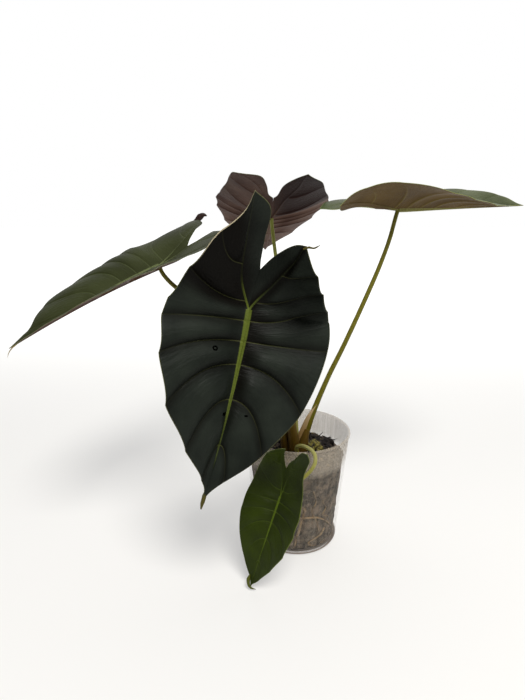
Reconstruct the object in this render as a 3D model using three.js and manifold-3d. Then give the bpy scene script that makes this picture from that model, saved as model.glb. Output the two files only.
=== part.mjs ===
// Potted golden bone alocasia: five arrow-shaped leaves on tall petioles that rise from one
// crown in a clear tapered nursery pot. Millimetres, +Z up, origin at the centre of the pot's
// underside, -Y towards the front.
import * as THREE from "three";
import { mergeVertices } from "three/addons/utils/BufferGeometryUtils.js";
import ManifoldModule from "manifold-3d";

const wasm = await ManifoldModule();
wasm.setup();

// Driving dimensions
const POT_RIM_RADIUS = 55;
const POT_BASE_RADIUS = 43.5;
const POT_HEIGHT = 122;
const POT_WALL = 1.1;
const POT_SIDES = 32;
const POT_CORNER = 4;
const SOIL_LEVEL = 97;
const CLEARANCE = 0.3;
const BLADE_THICKNESS = 0.8;
const BLADE_RIDGE = 3.0;

// Small helpers
const deg = (angle) => (angle * Math.PI) / 180;
const clamp = (x, low, high) => Math.min(Math.max(x, low), high);
const mix = (a, b, t) => a + (b - a) * t;
const smooth = (t) => {
  const x = clamp(t, 0, 1);
  return x * x * (3 - 2 * x);
};
const vec = (p) => new THREE.Vector3(p[0], p[1], p[2]);

// Repeatable random numbers between 0 and 1
function seeded(seed) {
  let state = seed;
  return () => {
    state = (state * 1664525 + 1013904223) % 4294967296;
    return state / 4294967296;
  };
}

// Smooth curve through a few values given at rising places
function curveThrough(places, values, x) {
  const last = places.length - 1;
  let i = 0;
  while (i < last - 1 && x >= places[i + 1]) i += 1;
  const slope = (k) => {
    const low = Math.max(k - 1, 0);
    const high = Math.min(k + 1, last);
    return (values[high] - values[low]) / (places[high] - places[low]);
  };
  const h = places[i + 1] - places[i];
  const t = (x - places[i]) / h;
  return (
    (2 * t ** 3 - 3 * t ** 2 + 1) * values[i] +
    (t ** 3 - 2 * t ** 2 + t) * h * slope(i) +
    (3 * t ** 2 - 2 * t ** 3) * values[i + 1] +
    (t ** 3 - t ** 2) * h * slope(i + 1)
  );
}

// Solids: three.js geometry in, three.js geometry out, manifold-3d in between
function toSolid(geometry) {
  const bare = new THREE.BufferGeometry();
  bare.setAttribute("position", geometry.getAttribute("position").clone());
  if (geometry.index) bare.setIndex(geometry.index.clone());
  const merged = mergeVertices(bare, 1e-4);
  const index = [];
  const source = merged.index.array;
  for (let i = 0; i < source.length; i += 3) {
    const [a, b, c] = [source[i], source[i + 1], source[i + 2]];
    if (a !== b && b !== c && a !== c) index.push(a, b, c);
  }
  return new wasm.Manifold(
    new wasm.Mesh({
      numProp: 3,
      vertProperties: new Float32Array(merged.getAttribute("position").array),
      triVerts: new Uint32Array(index),
    })
  );
}

function toGeometry(solid) {
  const mesh = solid.getMesh();
  const geometry = new THREE.BufferGeometry();
  geometry.setAttribute("position", new THREE.BufferAttribute(mesh.vertProperties.slice(), 3));
  geometry.setIndex(new THREE.BufferAttribute(mesh.triVerts.slice(), 1));
  geometry.computeVertexNormals();
  return geometry;
}

// The largest of a solid's separate pieces
function largest(solid) {
  const pieces = solid.decompose();
  return pieces.reduce((a, b) => (b.volume() > a.volume() ? b : a));
}

function fuse(solids) {
  return solids.reduce((a, b) => a.add(b));
}

// Round rod along a path, its radius given by a function that runs from 0 to 1 along it
function rod(points, radiusAt, steps, sides, swell = 0) {
  const path = new THREE.CatmullRomCurve3(points.map(vec), false, "centripetal");
  const frames = path.computeFrenetFrames(steps, false);
  const position = [];
  const index = [];
  for (let i = 0; i <= steps; i += 1) {
    const centre = path.getPointAt(i / steps);
    const radius = radiusAt(i / steps) + swell;
    for (let k = 0; k < sides; k += 1) {
      const turn = (2 * Math.PI * k) / sides;
      const spot = centre
        .clone()
        .addScaledVector(frames.normals[i], radius * Math.cos(turn))
        .addScaledVector(frames.binormals[i], radius * Math.sin(turn));
      position.push(spot.x, spot.y, spot.z);
    }
  }
  for (let i = 0; i < steps; i += 1) {
    for (let k = 0; k < sides; k += 1) {
      const a = i * sides + k;
      const b = i * sides + ((k + 1) % sides);
      index.push(a, b, b + sides, a, b + sides, a + sides);
    }
  }
  const start = position.length / 3;
  for (const [at, row] of [[0, 0], [1, steps]]) {
    const centre = path.getPointAt(at);
    position.push(centre.x, centre.y, centre.z);
    for (let k = 0; k < sides; k += 1) {
      const a = row * sides + k;
      const b = row * sides + ((k + 1) % sides);
      if (at === 0) index.push(start, b, a);
      else index.push(start + 1, a, b);
    }
  }
  const geometry = new THREE.BufferGeometry();
  geometry.setAttribute("position", new THREE.Float32BufferAttribute(position, 3));
  geometry.setIndex(index);
  return geometry;
}

// One half of a leaf lies flat in u, the distance from the foot along the midrib in midrib
// lengths, and w, the distance out from the midrib in half widths. The foot, where the petiole
// joins, is at u = 0 and w = 0. Margin places run from the lobe's tip at -1 to the blade's tip
// at 1, and each half of each leaf has its own w there.
const MARGIN_PLACES = [-1, -0.8, -0.6, -0.4, -0.2, 0, 0.15, 0.3, 0.45, 0.6, 0.72, 0.84, 0.93, 1];
const MARGIN_ALONG = [-0.66, -0.58, -0.45, -0.29, -0.11, 0.08, 0.27, 0.46, 0.61, 0.74, 0.83, 0.9, 0.95, 1];
// Margin of the notch between the two lobes, from the sinus to the lobe's tip
const NOTCH_PLACES = [0, 0.25, 0.5, 0.75, 1];
const NOTCH_ALONG = [-0.22, -0.33, -0.46, -0.59, -0.66];
// Rib of the lobe, from the foot to the lobe's tip
const RIB_PLACES = [0, 0.35, 0.7, 1];
const RIB_ALONG = [0, -0.2, -0.45, -0.66];
// Margin places of the side veins, between which the blade bulges
const VEINS = [-1, -0.66, -0.36, 0, 0.13, 0.31, 0.54, 0.77, 1];
// How far the crest between two veins lies towards the blade's tip
const CREST_SHIFT = 1.5;
// Where on the midrib the vein that ends at a margin place starts; before the junction it
// starts on the lobe's rib
const VEIN_ENDS = [-0.24, 0, 0.13, 0.31, 0.54, 0.77, 1];
const VEIN_FEET = [0, 0.055, 0.155, 0.27, 0.445, 0.68, 1];
const JUNCTION = -0.24;
const SINUS = 0.22;
const LOBE_END = 0.66;
const VEIN_SWEEP = 2.4;
const COSTA_GATHER = 1.25;

// Each leaf: foot is the point where its petiole joins it, tip the direction of its midrib
// there and face the direction its upper side looks; length is foot to tip, width the half
// width; lobe stretches the two lobes, and sinus is the bottom of the notch between them.
// droop bends the blade down towards its tip, heel and lift bend the lobes back, sweep turns
// the tip sideways and twist turns it about the midrib. quilt is how far the blade bulges
// between its side veins, and corner how far its margin stands out at their ends. right and
// left are the halves seen from above with the tip ahead: their angle to the midrib's plane
// at the foot, the tip and the lobe, their curl across, and the lobe's bend and splay.
const LEAVES = {
  front: {
    foot: [-46.6, -97.4, 267.8], tip: [-0.174, -0.17, -0.97], face: [0.27, -0.955, 0.119],
    length: 164, width: 70, lobe: 0.796, sinus: -0.27,
    droop: 3.9, heel: 30.6, lift: 33.9, sweep: 6.7, twist: -5.5, quilt: 5.8, corner: 0.012,
    right: {
      fold: 8.2, tipFold: 34, lobeFold: 17.7, curl: 0, bend: -0.168, splay: -0.011, lobeTip: -0.66,
      margin: [0.34, 0.4, 0.62, 0.75, 0.86, 0.97, 0.95, 0.83, 0.62, 0.38, 0.19, 0.065, 0.03, 0],
      notch: [0, 0.03, 0.07, 0.11], rib: [0, 0.18, 0.27],
    },
    left: {
      fold: 5.6, tipFold: 36.5, lobeFold: 48.6, curl: 0, bend: 0.007, splay: 0.042, lobeTip: -0.66,
      margin: [0.22, 0.46, 0.63, 0.75, 0.87, 0.98, 0.94, 0.82, 0.63, 0.43, 0.24, 0.1, 0.03, 0],
      notch: [0, 0.03, 0.09, 0.15], rib: [0, 0.19, 0.27],
    },
  },
  small: {
    foot: [-19.4, -81, 91.9], tip: [-0.322, -0.245, -0.914], face: [-0.382, -0.85, 0.362],
    length: 94.8, width: 31.2, lobe: 1.258, sinus: -0.26,
    droop: 15.3, heel: 18.2, lift: 51.8, sweep: 3.6, twist: 4.9, quilt: 1.3, corner: 0.01,
    right: {
      fold: 14.7, tipFold: 6.7, lobeFold: 20.6, curl: 3.2, bend: 0.026, splay: -0.107, lobeTip: -0.67,
      margin: [0.24, 0.47, 0.62, 0.75, 0.89, 0.98, 0.97, 0.83, 0.62, 0.4, 0.22, 0.085, 0.03, 0],
      notch: [0, 0.06, 0.11, 0.12], rib: [0, 0.09, 0.19],
    },
    left: {
      fold: 18.6, tipFold: 11.6, lobeFold: 21.5, curl: 21.2, bend: -0.005, splay: 0.21, lobeTip: -0.64,
      margin: [0.21, 0.47, 0.62, 0.76, 0.9, 0.99, 0.98, 0.84, 0.64, 0.43, 0.27, 0.15, 0.04, 0],
      notch: [0, 0.05, 0.17, 0.12], rib: [0, 0.09, 0.19],
    },
  },
  back: {
    foot: [-26.5, 59, 332.8], tip: [-0.024, 0.939, -0.343], face: [0.027, 0.344, 0.939],
    length: 130, width: 65.4, lobe: 1.2, sinus: -0.277,
    droop: 0.5, heel: 11.8, lift: -9.7, sweep: -2.5, twist: -6.3, quilt: 2, corner: 0.02,
    right: {
      fold: 4.2, tipFold: 12.1, lobeFold: -12.8, curl: 29.8, bend: -0.026, splay: 0.094, lobeTip: -0.687,
      margin: [0.2, 0.49, 0.64, 0.78, 0.91, 0.99, 0.97, 0.83, 0.63, 0.39, 0.19, 0.06, 0.03, 0],
      notch: [0, 0.05, 0.07, 0.14], rib: [0, 0.12, 0.26],
    },
    left: {
      fold: 7.5, tipFold: 6.6, lobeFold: -9.6, curl: 30.1, bend: -0.032, splay: 0.094, lobeTip: -0.61,
      margin: [0.32, 0.46, 0.6, 0.73, 0.87, 0.97, 0.96, 0.83, 0.63, 0.4, 0.22, 0.085, 0.03, 0],
      notch: [0, 0.065, 0.06, 0.08], rib: [0, 0.09, 0.19],
    },
  },
  left: {
    foot: [-130.4, -17.2, 291.8], tip: [-0.714, -0.64, -0.285], face: [-0.203, -0.201, 0.958],
    length: 143, width: 64.4, lobe: 0.995, sinus: -0.25,
    droop: 17.3, heel: 24.9, lift: -21.2, sweep: 23.6, twist: 3.3, quilt: 1.6, corner: 0.012,
    right: {
      fold: 40.3, tipFold: 22, lobeFold: 14.6, curl: -67.4, bend: -0.059, splay: 0.294, lobeTip: -0.697,
      margin: [0.29, 0.45, 0.61, 0.75, 0.89, 1, 1, 0.84, 0.61, 0.35, 0.14, 0.07, 0.03, 0],
      notch: [0, 0.08, 0.14, 0.12], rib: [0, 0.09, 0.19],
    },
    left: {
      fold: 14.3, tipFold: 19.5, lobeFold: 3.7, curl: 2.2, bend: -0.123, splay: -0.282, lobeTip: -0.63,
      margin: [0.23, 0.47, 0.62, 0.75, 0.89, 0.99, 0.97, 0.83, 0.63, 0.41, 0.23, 0.1, 0.03, 0],
      notch: [0, 0.11, 0.15, 0.12], rib: [0, 0.09, 0.19],
    },
  },
  right: {
    foot: [85.7, -14.4, 342.2], tip: [0.879, 0.476, 0.009], face: [0.023, -0.061, 0.998],
    length: 153, width: 53.7, lobe: 0.774, sinus: -0.22,
    droop: -1.4, heel: 5.2, lift: -3.6, sweep: 10.1, twist: 20.3, quilt: 1.5, corner: 0.012,
    right: {
      fold: 40, tipFold: 21.6, lobeFold: 49, curl: -37.2, bend: -0.068, splay: 0.056, lobeTip: -0.652,
      margin: [0.28, 0.47, 0.61, 0.76, 0.92, 1, 0.97, 0.82, 0.62, 0.39, 0.19, 0.06, 0.03, 0],
      notch: [0, 0.05, 0.08, 0.12], rib: [0, 0.09, 0.19],
    },
    left: {
      fold: 22.7, tipFold: 30.8, lobeFold: 33.1, curl: -46.7, bend: -0.039, splay: -0.055, lobeTip: -0.678,
      margin: [0.3, 0.45, 0.61, 0.75, 0.9, 0.99, 0.97, 0.83, 0.64, 0.46, 0.33, 0.2, 0.06, 0],
      notch: [0, 0.05, 0.08, 0.12], rib: [0, 0.09, 0.19],
    },
  },
};

// A point of a leaf's middle surface. side is 1 on the right half and -1 on the left.
function leafPoint(leaf, u, w, side) {
  const half = side > 0 ? leaf.right : leaf.left;
  const reach = u < 0 ? u * leaf.lobe : u;
  const run = reach * leaf.length;
  const lobeLength = LOBE_END * leaf.lobe * leaf.length;
  const heelLength = 0.12 * leaf.length;
  const rise = (x) => {
    if (x >= 0) return (-deg(leaf.droop) / leaf.length) * x;
    return -deg(leaf.heel) * (1 - Math.exp(x / heelLength)) + (deg(leaf.lift) / lobeLength) * x;
  };
  const steps = 24;
  const step = run / steps;
  let ahead = 0;
  let up = 0;
  for (let i = 0; i < steps; i += 1) {
    const angle = rise(step * (i + 0.5));
    ahead += Math.cos(angle) * step;
    up += Math.sin(angle) * step;
  }
  const slope = rise(run);
  const aside = run > 0 ? ((deg(leaf.sweep) / leaf.length) * run * run) / 2 : 0;
  const turn = deg(leaf.twist) * clamp(reach, -1, 1);

  const toTip = clamp(reach, 0, 1);
  const toLobe = clamp(-u / LOBE_END, 0, 1);
  const fold = deg(
    half.fold + (half.tipFold - half.fold) * toTip + (half.lobeFold - half.fold) * toLobe
  );
  const across = w * leaf.width;
  const bend = deg(half.curl) / leaf.width || 1e-6;
  const flatX = Math.sin(bend * across) / bend;
  const flatZ = (1 - Math.cos(bend * across)) / bend;
  const x = side * (flatX * Math.cos(fold) - flatZ * Math.sin(fold));
  const z = flatX * Math.sin(fold) + flatZ * Math.cos(fold);
  const lobeShare = clamp((-u - SINUS) / (LOBE_END - SINUS), 0, 1) ** 2;

  // forward, sideways and upward components before the leaf is put in place
  const normal = [-Math.sin(slope), 0, Math.cos(slope)];
  const local = [ahead, aside, up];
  const outward = [
    -normal[0] * Math.sin(turn), Math.cos(turn), -normal[2] * Math.sin(turn),
  ];
  const upward = [normal[0] * Math.cos(turn), Math.sin(turn), normal[2] * Math.cos(turn)];
  for (let k = 0; k < 3; k += 1) {
    local[k] += outward[k] * x + upward[k] * z + normal[k] * half.bend * leaf.length * lobeShare;
  }
  local[1] += side * half.splay * leaf.length * lobeShare;

  const tip = vec(leaf.tip).normalize();
  const face = vec(leaf.face).addScaledVector(tip, -vec(leaf.face).dot(tip)).normalize();
  const right = tip.clone().cross(face);
  return vec(leaf.foot)
    .addScaledVector(tip, local[0])
    .addScaledVector(right, local[1])
    .addScaledVector(face, local[2]);
}

// Unit normal of the upper side
function leafNormal(leaf, u, w, side) {
  const e = 1e-3;
  const sides = w < e ? [1, -1] : [side];
  const normal = new THREE.Vector3();
  for (const half of sides) {
    const alongRib = leafPoint(leaf, u + e, w, half).sub(leafPoint(leaf, u - e, w, half));
    const outward = leafPoint(leaf, u, w + e, half).sub(leafPoint(leaf, u, w, half));
    normal.addScaledVector(outward.cross(alongRib).normalize(), half);
  }
  return normal.normalize();
}

// How far the blade bulges up between two side veins, which is 0 with a sharp valley at each
// vein. The crest lies nearer to the vein towards the tip, and wide pillows stand higher
function bulge(a) {
  let i = 0;
  while (i < VEINS.length - 2 && a >= VEINS[i + 1]) i += 1;
  const across = VEINS[i + 1] - VEINS[i];
  const t = ((a - VEINS[i]) / across) ** CREST_SHIFT;
  return 4 * t * (1 - t) * (0.35 + 4 * across) * (a < 0 ? 0.45 : 1);
}

// Gives a sheet of triangles a thickness and closes its rim
function thicken(points, normals, faces, above, below) {
  const count = points.length;
  const position = [];
  for (let i = 0; i < count; i += 1) {
    position.push(...points[i].clone().addScaledVector(normals[i], above[i]).toArray());
  }
  for (let i = 0; i < count; i += 1) {
    position.push(...points[i].clone().addScaledVector(normals[i], -below[i]).toArray());
  }
  const index = [];
  const edges = new Map();
  for (const [a, b, c] of faces) {
    index.push(a, b, c, a + count, c + count, b + count);
    for (const [p, q] of [[a, b], [b, c], [c, a]]) {
      if (edges.has(`${q},${p}`)) edges.delete(`${q},${p}`);
      else edges.set(`${p},${q}`, [p, q]);
    }
  }
  for (const [p, q] of edges.values()) {
    index.push(q, p, p + count, q, p + count, q + count);
  }
  const geometry = new THREE.BufferGeometry();
  geometry.setAttribute("position", new THREE.Float32BufferAttribute(position, 3));
  geometry.setIndex(index);
  return geometry;
}

// A leaf blade: midrib, two lobe ribs and the quilted surface between its side veins
const VEIN_ROWS = 3;
const OUTER_COLUMNS = [0, 0.06, 0.28, 0.55, 0.8, 1];
const NOTCH_COLUMNS = [0, 0.3, 0.65, 1];

function blade(leaf, swell = 0) {
  const points = [];
  const normals = [];
  const above = [];
  const below = [];
  const faces = [];
  const known = new Map();

  function vertex(u, w, side, lift, ridge) {
    const key = `${Math.round(u * 1e5)},${Math.round(side * w * 1e5) + 0}`;
    if (known.has(key)) return known.get(key);
    const normal = leafNormal(leaf, u, w, side);
    points.push(leafPoint(leaf, u, w, side).addScaledVector(normal, lift));
    normals.push(normal);
    above.push(BLADE_THICKNESS / 2 + swell);
    below.push(BLADE_THICKNESS / 2 + ridge + swell);
    known.set(key, points.length - 1);
    return points.length - 1;
  }
  function skin(rows, side) {
    for (let i = 0; i + 1 < rows.length; i += 1) {
      for (let k = 0; k + 1 < rows[i].length; k += 1) {
        const [a, b] = [rows[i][k], rows[i][k + 1]];
        const [c, d] = [rows[i + 1][k + 1], rows[i + 1][k]];
        for (const [p, q, r] of [[a, b, c], [a, c, d]]) {
          if (p === q || q === r || p === r) continue;
          faces.push(side > 0 ? [p, q, r] : [p, r, q]);
        }
      }
    }
  }

  const stations = [1];
  for (let i = 0; i + 1 < VEINS.length; i += 1) {
    for (let k = 0; k < VEIN_ROWS; k += 1) {
      stations.push(mix(VEINS[i], VEINS[i + 1], k / VEIN_ROWS));
    }
  }
  stations.sort((a, b) => a - b);

  for (const side of [1, -1]) {
    const half = side > 0 ? leaf.right : leaf.left;
    const lobeTip = half.margin[0];
    const marginAlong = [half.lobeTip, ...MARGIN_ALONG.slice(1)];
    const notchAlong = [leaf.sinus, ...NOTCH_ALONG.slice(1, -1), half.lobeTip];
    const ribAlong = [...RIB_ALONG.slice(0, -1), half.lobeTip];
    const outerRows = [];
    const notchRows = [];
    for (const a of stations) {
      const onLobe = a < JUNCTION - 1e-9;
      const gather = onLobe ? ((JUNCTION - a) / (1 + JUNCTION)) ** COSTA_GATHER : 0;
      const footU = onLobe
        ? curveThrough(RIB_PLACES, ribAlong, gather)
        : curveThrough(VEIN_ENDS, VEIN_FEET, a);
      const footW = onLobe ? curveThrough(RIB_PLACES, [...half.rib, lobeTip], gather) : 0;
      const edgeU = curveThrough(MARGIN_PLACES, marginAlong, a);
      const standOut = 1 + leaf.corner * (0.5 - bulge(a)) * (1 - Math.abs(a) ** 3);
      const edgeW = standOut * curveThrough(MARGIN_PLACES, half.margin, a);
      const ridge = BLADE_RIDGE * (onLobe ? 0.6 * (1 - gather) : 1 - clamp(a, 0, 1)) * (leaf.width / 70);
      outerRows.push(
        OUTER_COLUMNS.map((b) => {
          const u = mix(footU, edgeU, b ** VEIN_SWEEP);
          const w = mix(footW, edgeW, b);
          const swelling = leaf.quilt * Math.sqrt(Math.max(edgeW, 0)) * bulge(a);
          const lift = swelling * smooth(b / 0.3) * (1 - 0.55 * b * b);
          return vertex(u, w, side, lift, b === 0 ? ridge : 0);
        })
      );
      if (a > JUNCTION + 1e-9) continue;
      const edge = [
        curveThrough(NOTCH_PLACES, notchAlong, gather),
        curveThrough(NOTCH_PLACES, [...half.notch, lobeTip], gather),
      ];
      notchRows.push(
        NOTCH_COLUMNS.map((b) =>
          vertex(mix(footU, edge[0], b), mix(footW, edge[1], b), side, 0, b === 0 ? ridge : 0)
        )
      );
    }
    skin(outerRows, side);
    skin(notchRows, -side);
  }
  return thicken(points, normals, faces, above, below);
}

// The petioles, each from the corm in the soil up to the foot of its blade
const PETIOLE_START = 72;
const PETIOLES = {
  right: {
    path: [
      [6.5, -0.5, PETIOLE_START], [8.3, -0.3, 109], [12.3, 0, 126], [17.4, 0, 143], [30.9, -1, 180],
      [43.7, -3, 210.6], [61.2, -6, 256], [73.3, -10, 291], [80, -13, 315], [83.6, -15, 334],
    ],
    base: 4.3, middle: 2.5, top: 1.8,
  },
  left: {
    path: [
      [-9.5, 0, PETIOLE_START], [-11.5, -0.5, 115], [-20, -2, 150], [-45, -7, 195], [-80, -12, 239],
      [-106, -16, 264], [-116.5, -17, 272.5], [-123, -17.5, 279], [-128, -18, 286],
    ],
    base: 4.8, middle: 2.7, top: 1.9,
  },
  front: {
    path: [
      [-1.6, -6, PETIOLE_START], [-3, -8.5, 115], [-8, -18, 155], [-20, -42, 200], [-33, -68, 236],
      [-42, -86, 257],
    ],
    base: 4.2, middle: 2.7, top: 2.0,
  },
  back: {
    path: [
      [0.5, 6.5, PETIOLE_START], [-0.5, 9, 115], [-5, 18, 165], [-12, 33, 220], [-18.5, 49, 270],
      [-23.5, 58, 305], [-26, 60, 326],
    ],
    base: 4.2, middle: 2.3, top: 1.8,
  },
  small: {
    path: [
      [3.5, -12.5, PETIOLE_START], [-0.5, -16, 102], [-1.4, -22, 111], [1.6, -35, 119.5], [6, -50, 125.4],
      [10, -60, 127], [12.3, -67.5, 125.5], [12, -72, 121], [9, -74, 115.5], [2.5, -74.5, 108],
      [-7, -74.5, 99.5], [-15, -76, 92.5],
    ],
    base: 2.3, middle: 1.9, top: 1.6,
  },
};

// Places along a petiole at which its girth changes
const GIRTH_PLACES = [0, 0.12, 0.35, 1];

function petiole(name, swell = 0) {
  const { path, base, middle, top } = PETIOLES[name];
  const line = [...path, LEAVES[name].foot];
  const girth = [base, mix(base, middle, 0.45), middle, top];
  const steps = name === "small" ? 22 : 16;
  const sides = name === "small" ? 6 : 8;
  const stem = toSolid(rod(line, (t) => curveThrough(GIRTH_PLACES, girth, t), steps, sides, swell));
  return name === "right" ? stem.add(sheathWing(line, swell)) : stem;
}

// Pale wing of the sheath at the right petiole's foot: a thin flap on the side towards the
// crown that ends in a shoulder. Rows are a position along the petiole and the flap's width.
const WING = [[0.1, 2.4], [0.14, 4.4], [0.18, 5.2], [0.215, 4], [0.245, 2], [0.265, 0.4]];
const WING_THICKNESS = 0.7;
const WING_ROOT = 1.2;

function sheathWing(line, swell) {
  const path = new THREE.CatmullRomCurve3(line.map(vec), false, "centripetal");
  const points = [];
  const normals = [];
  const faces = [];
  const columns = 3;
  WING.forEach(([t, width], i) => {
    const stem = path.getPointAt(t);
    for (let k = 0; k < columns; k += 1) {
      const share = k / (columns - 1);
      const reach = mix(WING_ROOT, 3.1 + width, share);
      points.push(stem.clone().add(new THREE.Vector3(-reach, -0.9 * share * share, 0)));
      normals.push(new THREE.Vector3(-0.35 * share, -1, 0).normalize());
      if (i + 1 < WING.length && k + 1 < columns) {
        const a = i * columns + k;
        faces.push([a, a + columns + 1, a + 1], [a, a + columns, a + columns + 1]);
      }
    }
  });
  const half = points.map(() => WING_THICKNESS / 2 + swell);
  return toSolid(thicken(points, normals, faces, half, half));
}

// The pot: a thin tapered cup with a small bead round its rim and drain holes in its base
const outerRadius = (z) => mix(POT_BASE_RADIUS, POT_RIM_RADIUS - 0.8, z / POT_HEIGHT);
const innerRadius = (z) => outerRadius(z) - POT_WALL;

function pot() {
  const corner = POT_CORNER;
  const profile = [
    [0, 0], [outerRadius(0) - corner, 0], [outerRadius(0) - 1.1, 1.1], [outerRadius(corner), corner],
    [outerRadius(POT_HEIGHT - 4), POT_HEIGHT - 4], [POT_RIM_RADIUS, POT_HEIGHT - 3],
    [POT_RIM_RADIUS, POT_HEIGHT - 0.8], [POT_RIM_RADIUS - 0.8, POT_HEIGHT],
    [innerRadius(POT_HEIGHT), POT_HEIGHT - 0.5], [innerRadius(corner + 1), corner + 1],
    [innerRadius(0) - corner, POT_WALL + 0.2], [0, POT_WALL + 0.2],
  ];
  const shell = new THREE.LatheGeometry(profile.map(([r, z]) => new THREE.Vector2(r, z)), POT_SIDES);
  shell.rotateX(Math.PI / 2);
  let solid = toSolid(shell);
  const drains = 6;
  for (let i = 0; i < drains; i += 1) {
    const drill = new THREE.CylinderGeometry(3.5, 3.5, 6, 8);
    drill.rotateX(Math.PI / 2);
    const turn = (2 * Math.PI * (i + 0.5)) / drains;
    drill.translate(27 * Math.cos(turn), 27 * Math.sin(turn), 0);
    solid = solid.subtract(toSolid(drill));
  }
  return solid;
}

// Corm under the crown and the roots that run out to the wall and down along it
const ROOTS = [
  { radius: 1.5, start: -100, rows: [[-83, 56], [-85.5, 42], [-88, 30], [-92, 19], [-94, 6]] },
  { radius: 1.2, start: -62, rows: [[-88, 44.5], [-79, 44.5], [-66, 43], [-48, 34], [-33, 22]] },
  { radius: 1.1, start: -40, rows: [[-55, 20], [-64, 17], [-75, 12.5], [-66, 7.5], [-46, 6.5], [-25, 7]] },
  { radius: 1.5, start: 20, rows: [[12, 70], [18, 50], [26, 30], [22, 10]] },
  { radius: 1.4, start: 95, rows: [[80, 66], [92, 44], [104, 26], [100, 9]] },
  { radius: 1.5, start: 150, rows: [[150, 60], [162, 40], [158, 22], [170, 8]] },
  { radius: 1.3, start: -150, rows: [[-140, 66], [-148, 46], [-142, 26], [-150, 9]] },
];
const CORM_DEPTH = 34;
const ROOT_STEPS = 14;

function cormAndRoots(swell = 0) {
  const corm = new THREE.SphereGeometry(1, 12, 8);
  corm.rotateX(Math.PI / 2);
  corm.scale(15 + swell, 15 + swell, 17 + swell);
  corm.translate(0, 0, SOIL_LEVEL - CORM_DEPTH);
  const pieces = [toSolid(corm)];
  for (const root of ROOTS) {
    const hug = (angle, z) => {
      const corner = 0.5 * Math.max(10 - z, 0);
      const wallRadius = innerRadius(z) * Math.cos(Math.PI / POT_SIDES) - corner;
      const r = wallRadius - 1.25 * root.radius - 2 * CLEARANCE;
      return [r * Math.cos(deg(angle)), r * Math.sin(deg(angle)), z];
    };
    const top = SOIL_LEVEL - CORM_DEPTH;
    const inside = [0.25, 0.62, 0.9].map((share) => {
      const [x, y, z] = hug(root.start, root.rows[0][1]);
      return [x * share, y * share, mix(top, z, share * share)];
    });
    const wall = root.rows.map(([angle, z]) => hug(angle, z));
    const thin = (t) => root.radius * mix(1.25, 0.75, t);
    pieces.push(toSolid(rod([...inside, ...wall], thin, ROOT_STEPS, 5, swell)));
  }
  return fuse(pieces);
}

// Lumps of bark, pumice and coir that show on the soil, fused to what they lie on
function lump(random, size, flat) {
  const geometry = new THREE.IcosahedronGeometry(size, 0);
  const bare = mergeVertices((geometry.deleteAttribute("normal"), geometry.deleteAttribute("uv")));
  const position = bare.getAttribute("position");
  for (let i = 0; i < position.count; i += 1) {
    const grow = 0.75 + 0.5 * random();
    position.setXYZ(i, position.getX(i) * grow, position.getY(i) * grow, position.getZ(i) * grow * flat);
  }
  bare.rotateX(random() * 0.9);
  bare.rotateZ(random() * 6.3);
  return bare;
}

// Olive granules in a heap on the soil beside the right petiole
const HEAP = { x: 22, y: 6, z: SOIL_LEVEL + 5.5, count: 8 };

function granules(swell = 0) {
  const random = seeded(11);
  const pieces = [];
  for (let i = 0; i < HEAP.count; i += 1) {
    const turn = i * 2.4;
    const reach = 1.9 * Math.sqrt(i + 0.3);
    const geometry = lump(random, 3.4 - 0.12 * i, 0.8);
    const size = 1 + swell / 2.4;
    geometry.scale(size, size, size);
    geometry.translate(
      HEAP.x + reach * 0.7 * Math.cos(turn), HEAP.y + reach * 1.5 * Math.sin(turn),
      HEAP.z - 0.35 * i
    );
    pieces.push(toSolid(geometry));
  }
  return largest(fuse(pieces));
}

function soil() {
  const rings = [0, 0.16, 0.34, 0.52, 0.7, 0.86, 0.96];
  const edge = (z) => innerRadius(z) - CLEARANCE;
  const floor = POT_WALL + 0.2 + CLEARANCE;
  const height = (x, y) =>
    SOIL_LEVEL + 1.6 * Math.sin(0.16 * x + 1) * Math.cos(0.19 * y) + 0.9 * Math.sin(0.37 * x - 0.31 * y);
  const profile = [
    [0, floor], [innerRadius(0) - 4.4, floor], [edge(5.4), 5.4],
    [edge(SOIL_LEVEL - 1.5), SOIL_LEVEL - 1.5],
    ...rings.slice(1).reverse().map((share) => [share * edge(SOIL_LEVEL - 1.5), SOIL_LEVEL]),
    [0, SOIL_LEVEL],
  ];
  const body = new THREE.LatheGeometry(profile.map(([r, z]) => new THREE.Vector2(r, z)), POT_SIDES);
  body.rotateX(Math.PI / 2);
  const position = body.getAttribute("position");
  for (let i = 0; i < position.count; i += 1) {
    if (position.getZ(i) < SOIL_LEVEL - 0.01) continue;
    position.setZ(i, height(position.getX(i), position.getY(i)));
  }
  const pieces = [toSolid(body)];
  const random = seeded(5);
  const chips = 20;
  for (let i = 0; i < chips; i += 1) {
    const turn = i * 2.39996;
    const reach = 46 * Math.sqrt((i + 4) / (chips + 4));
    const size = 2.6 + 2.4 * random();
    const chip = lump(random, size, 0.55);
    const [x, y] = [reach * Math.cos(turn), reach * Math.sin(turn)];
    chip.translate(x, y, height(x, y) + 0.25 * size);
    pieces.push(toSolid(chip));
  }
  let solid = fuse(pieces);
  const mould = [cormAndRoots(CLEARANCE), granules(CLEARANCE)];
  for (const name of Object.keys(PETIOLES)) mould.push(petiole(name, CLEARANCE));
  for (const part of mould) solid = solid.subtract(part);
  return largest(solid);
}

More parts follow.
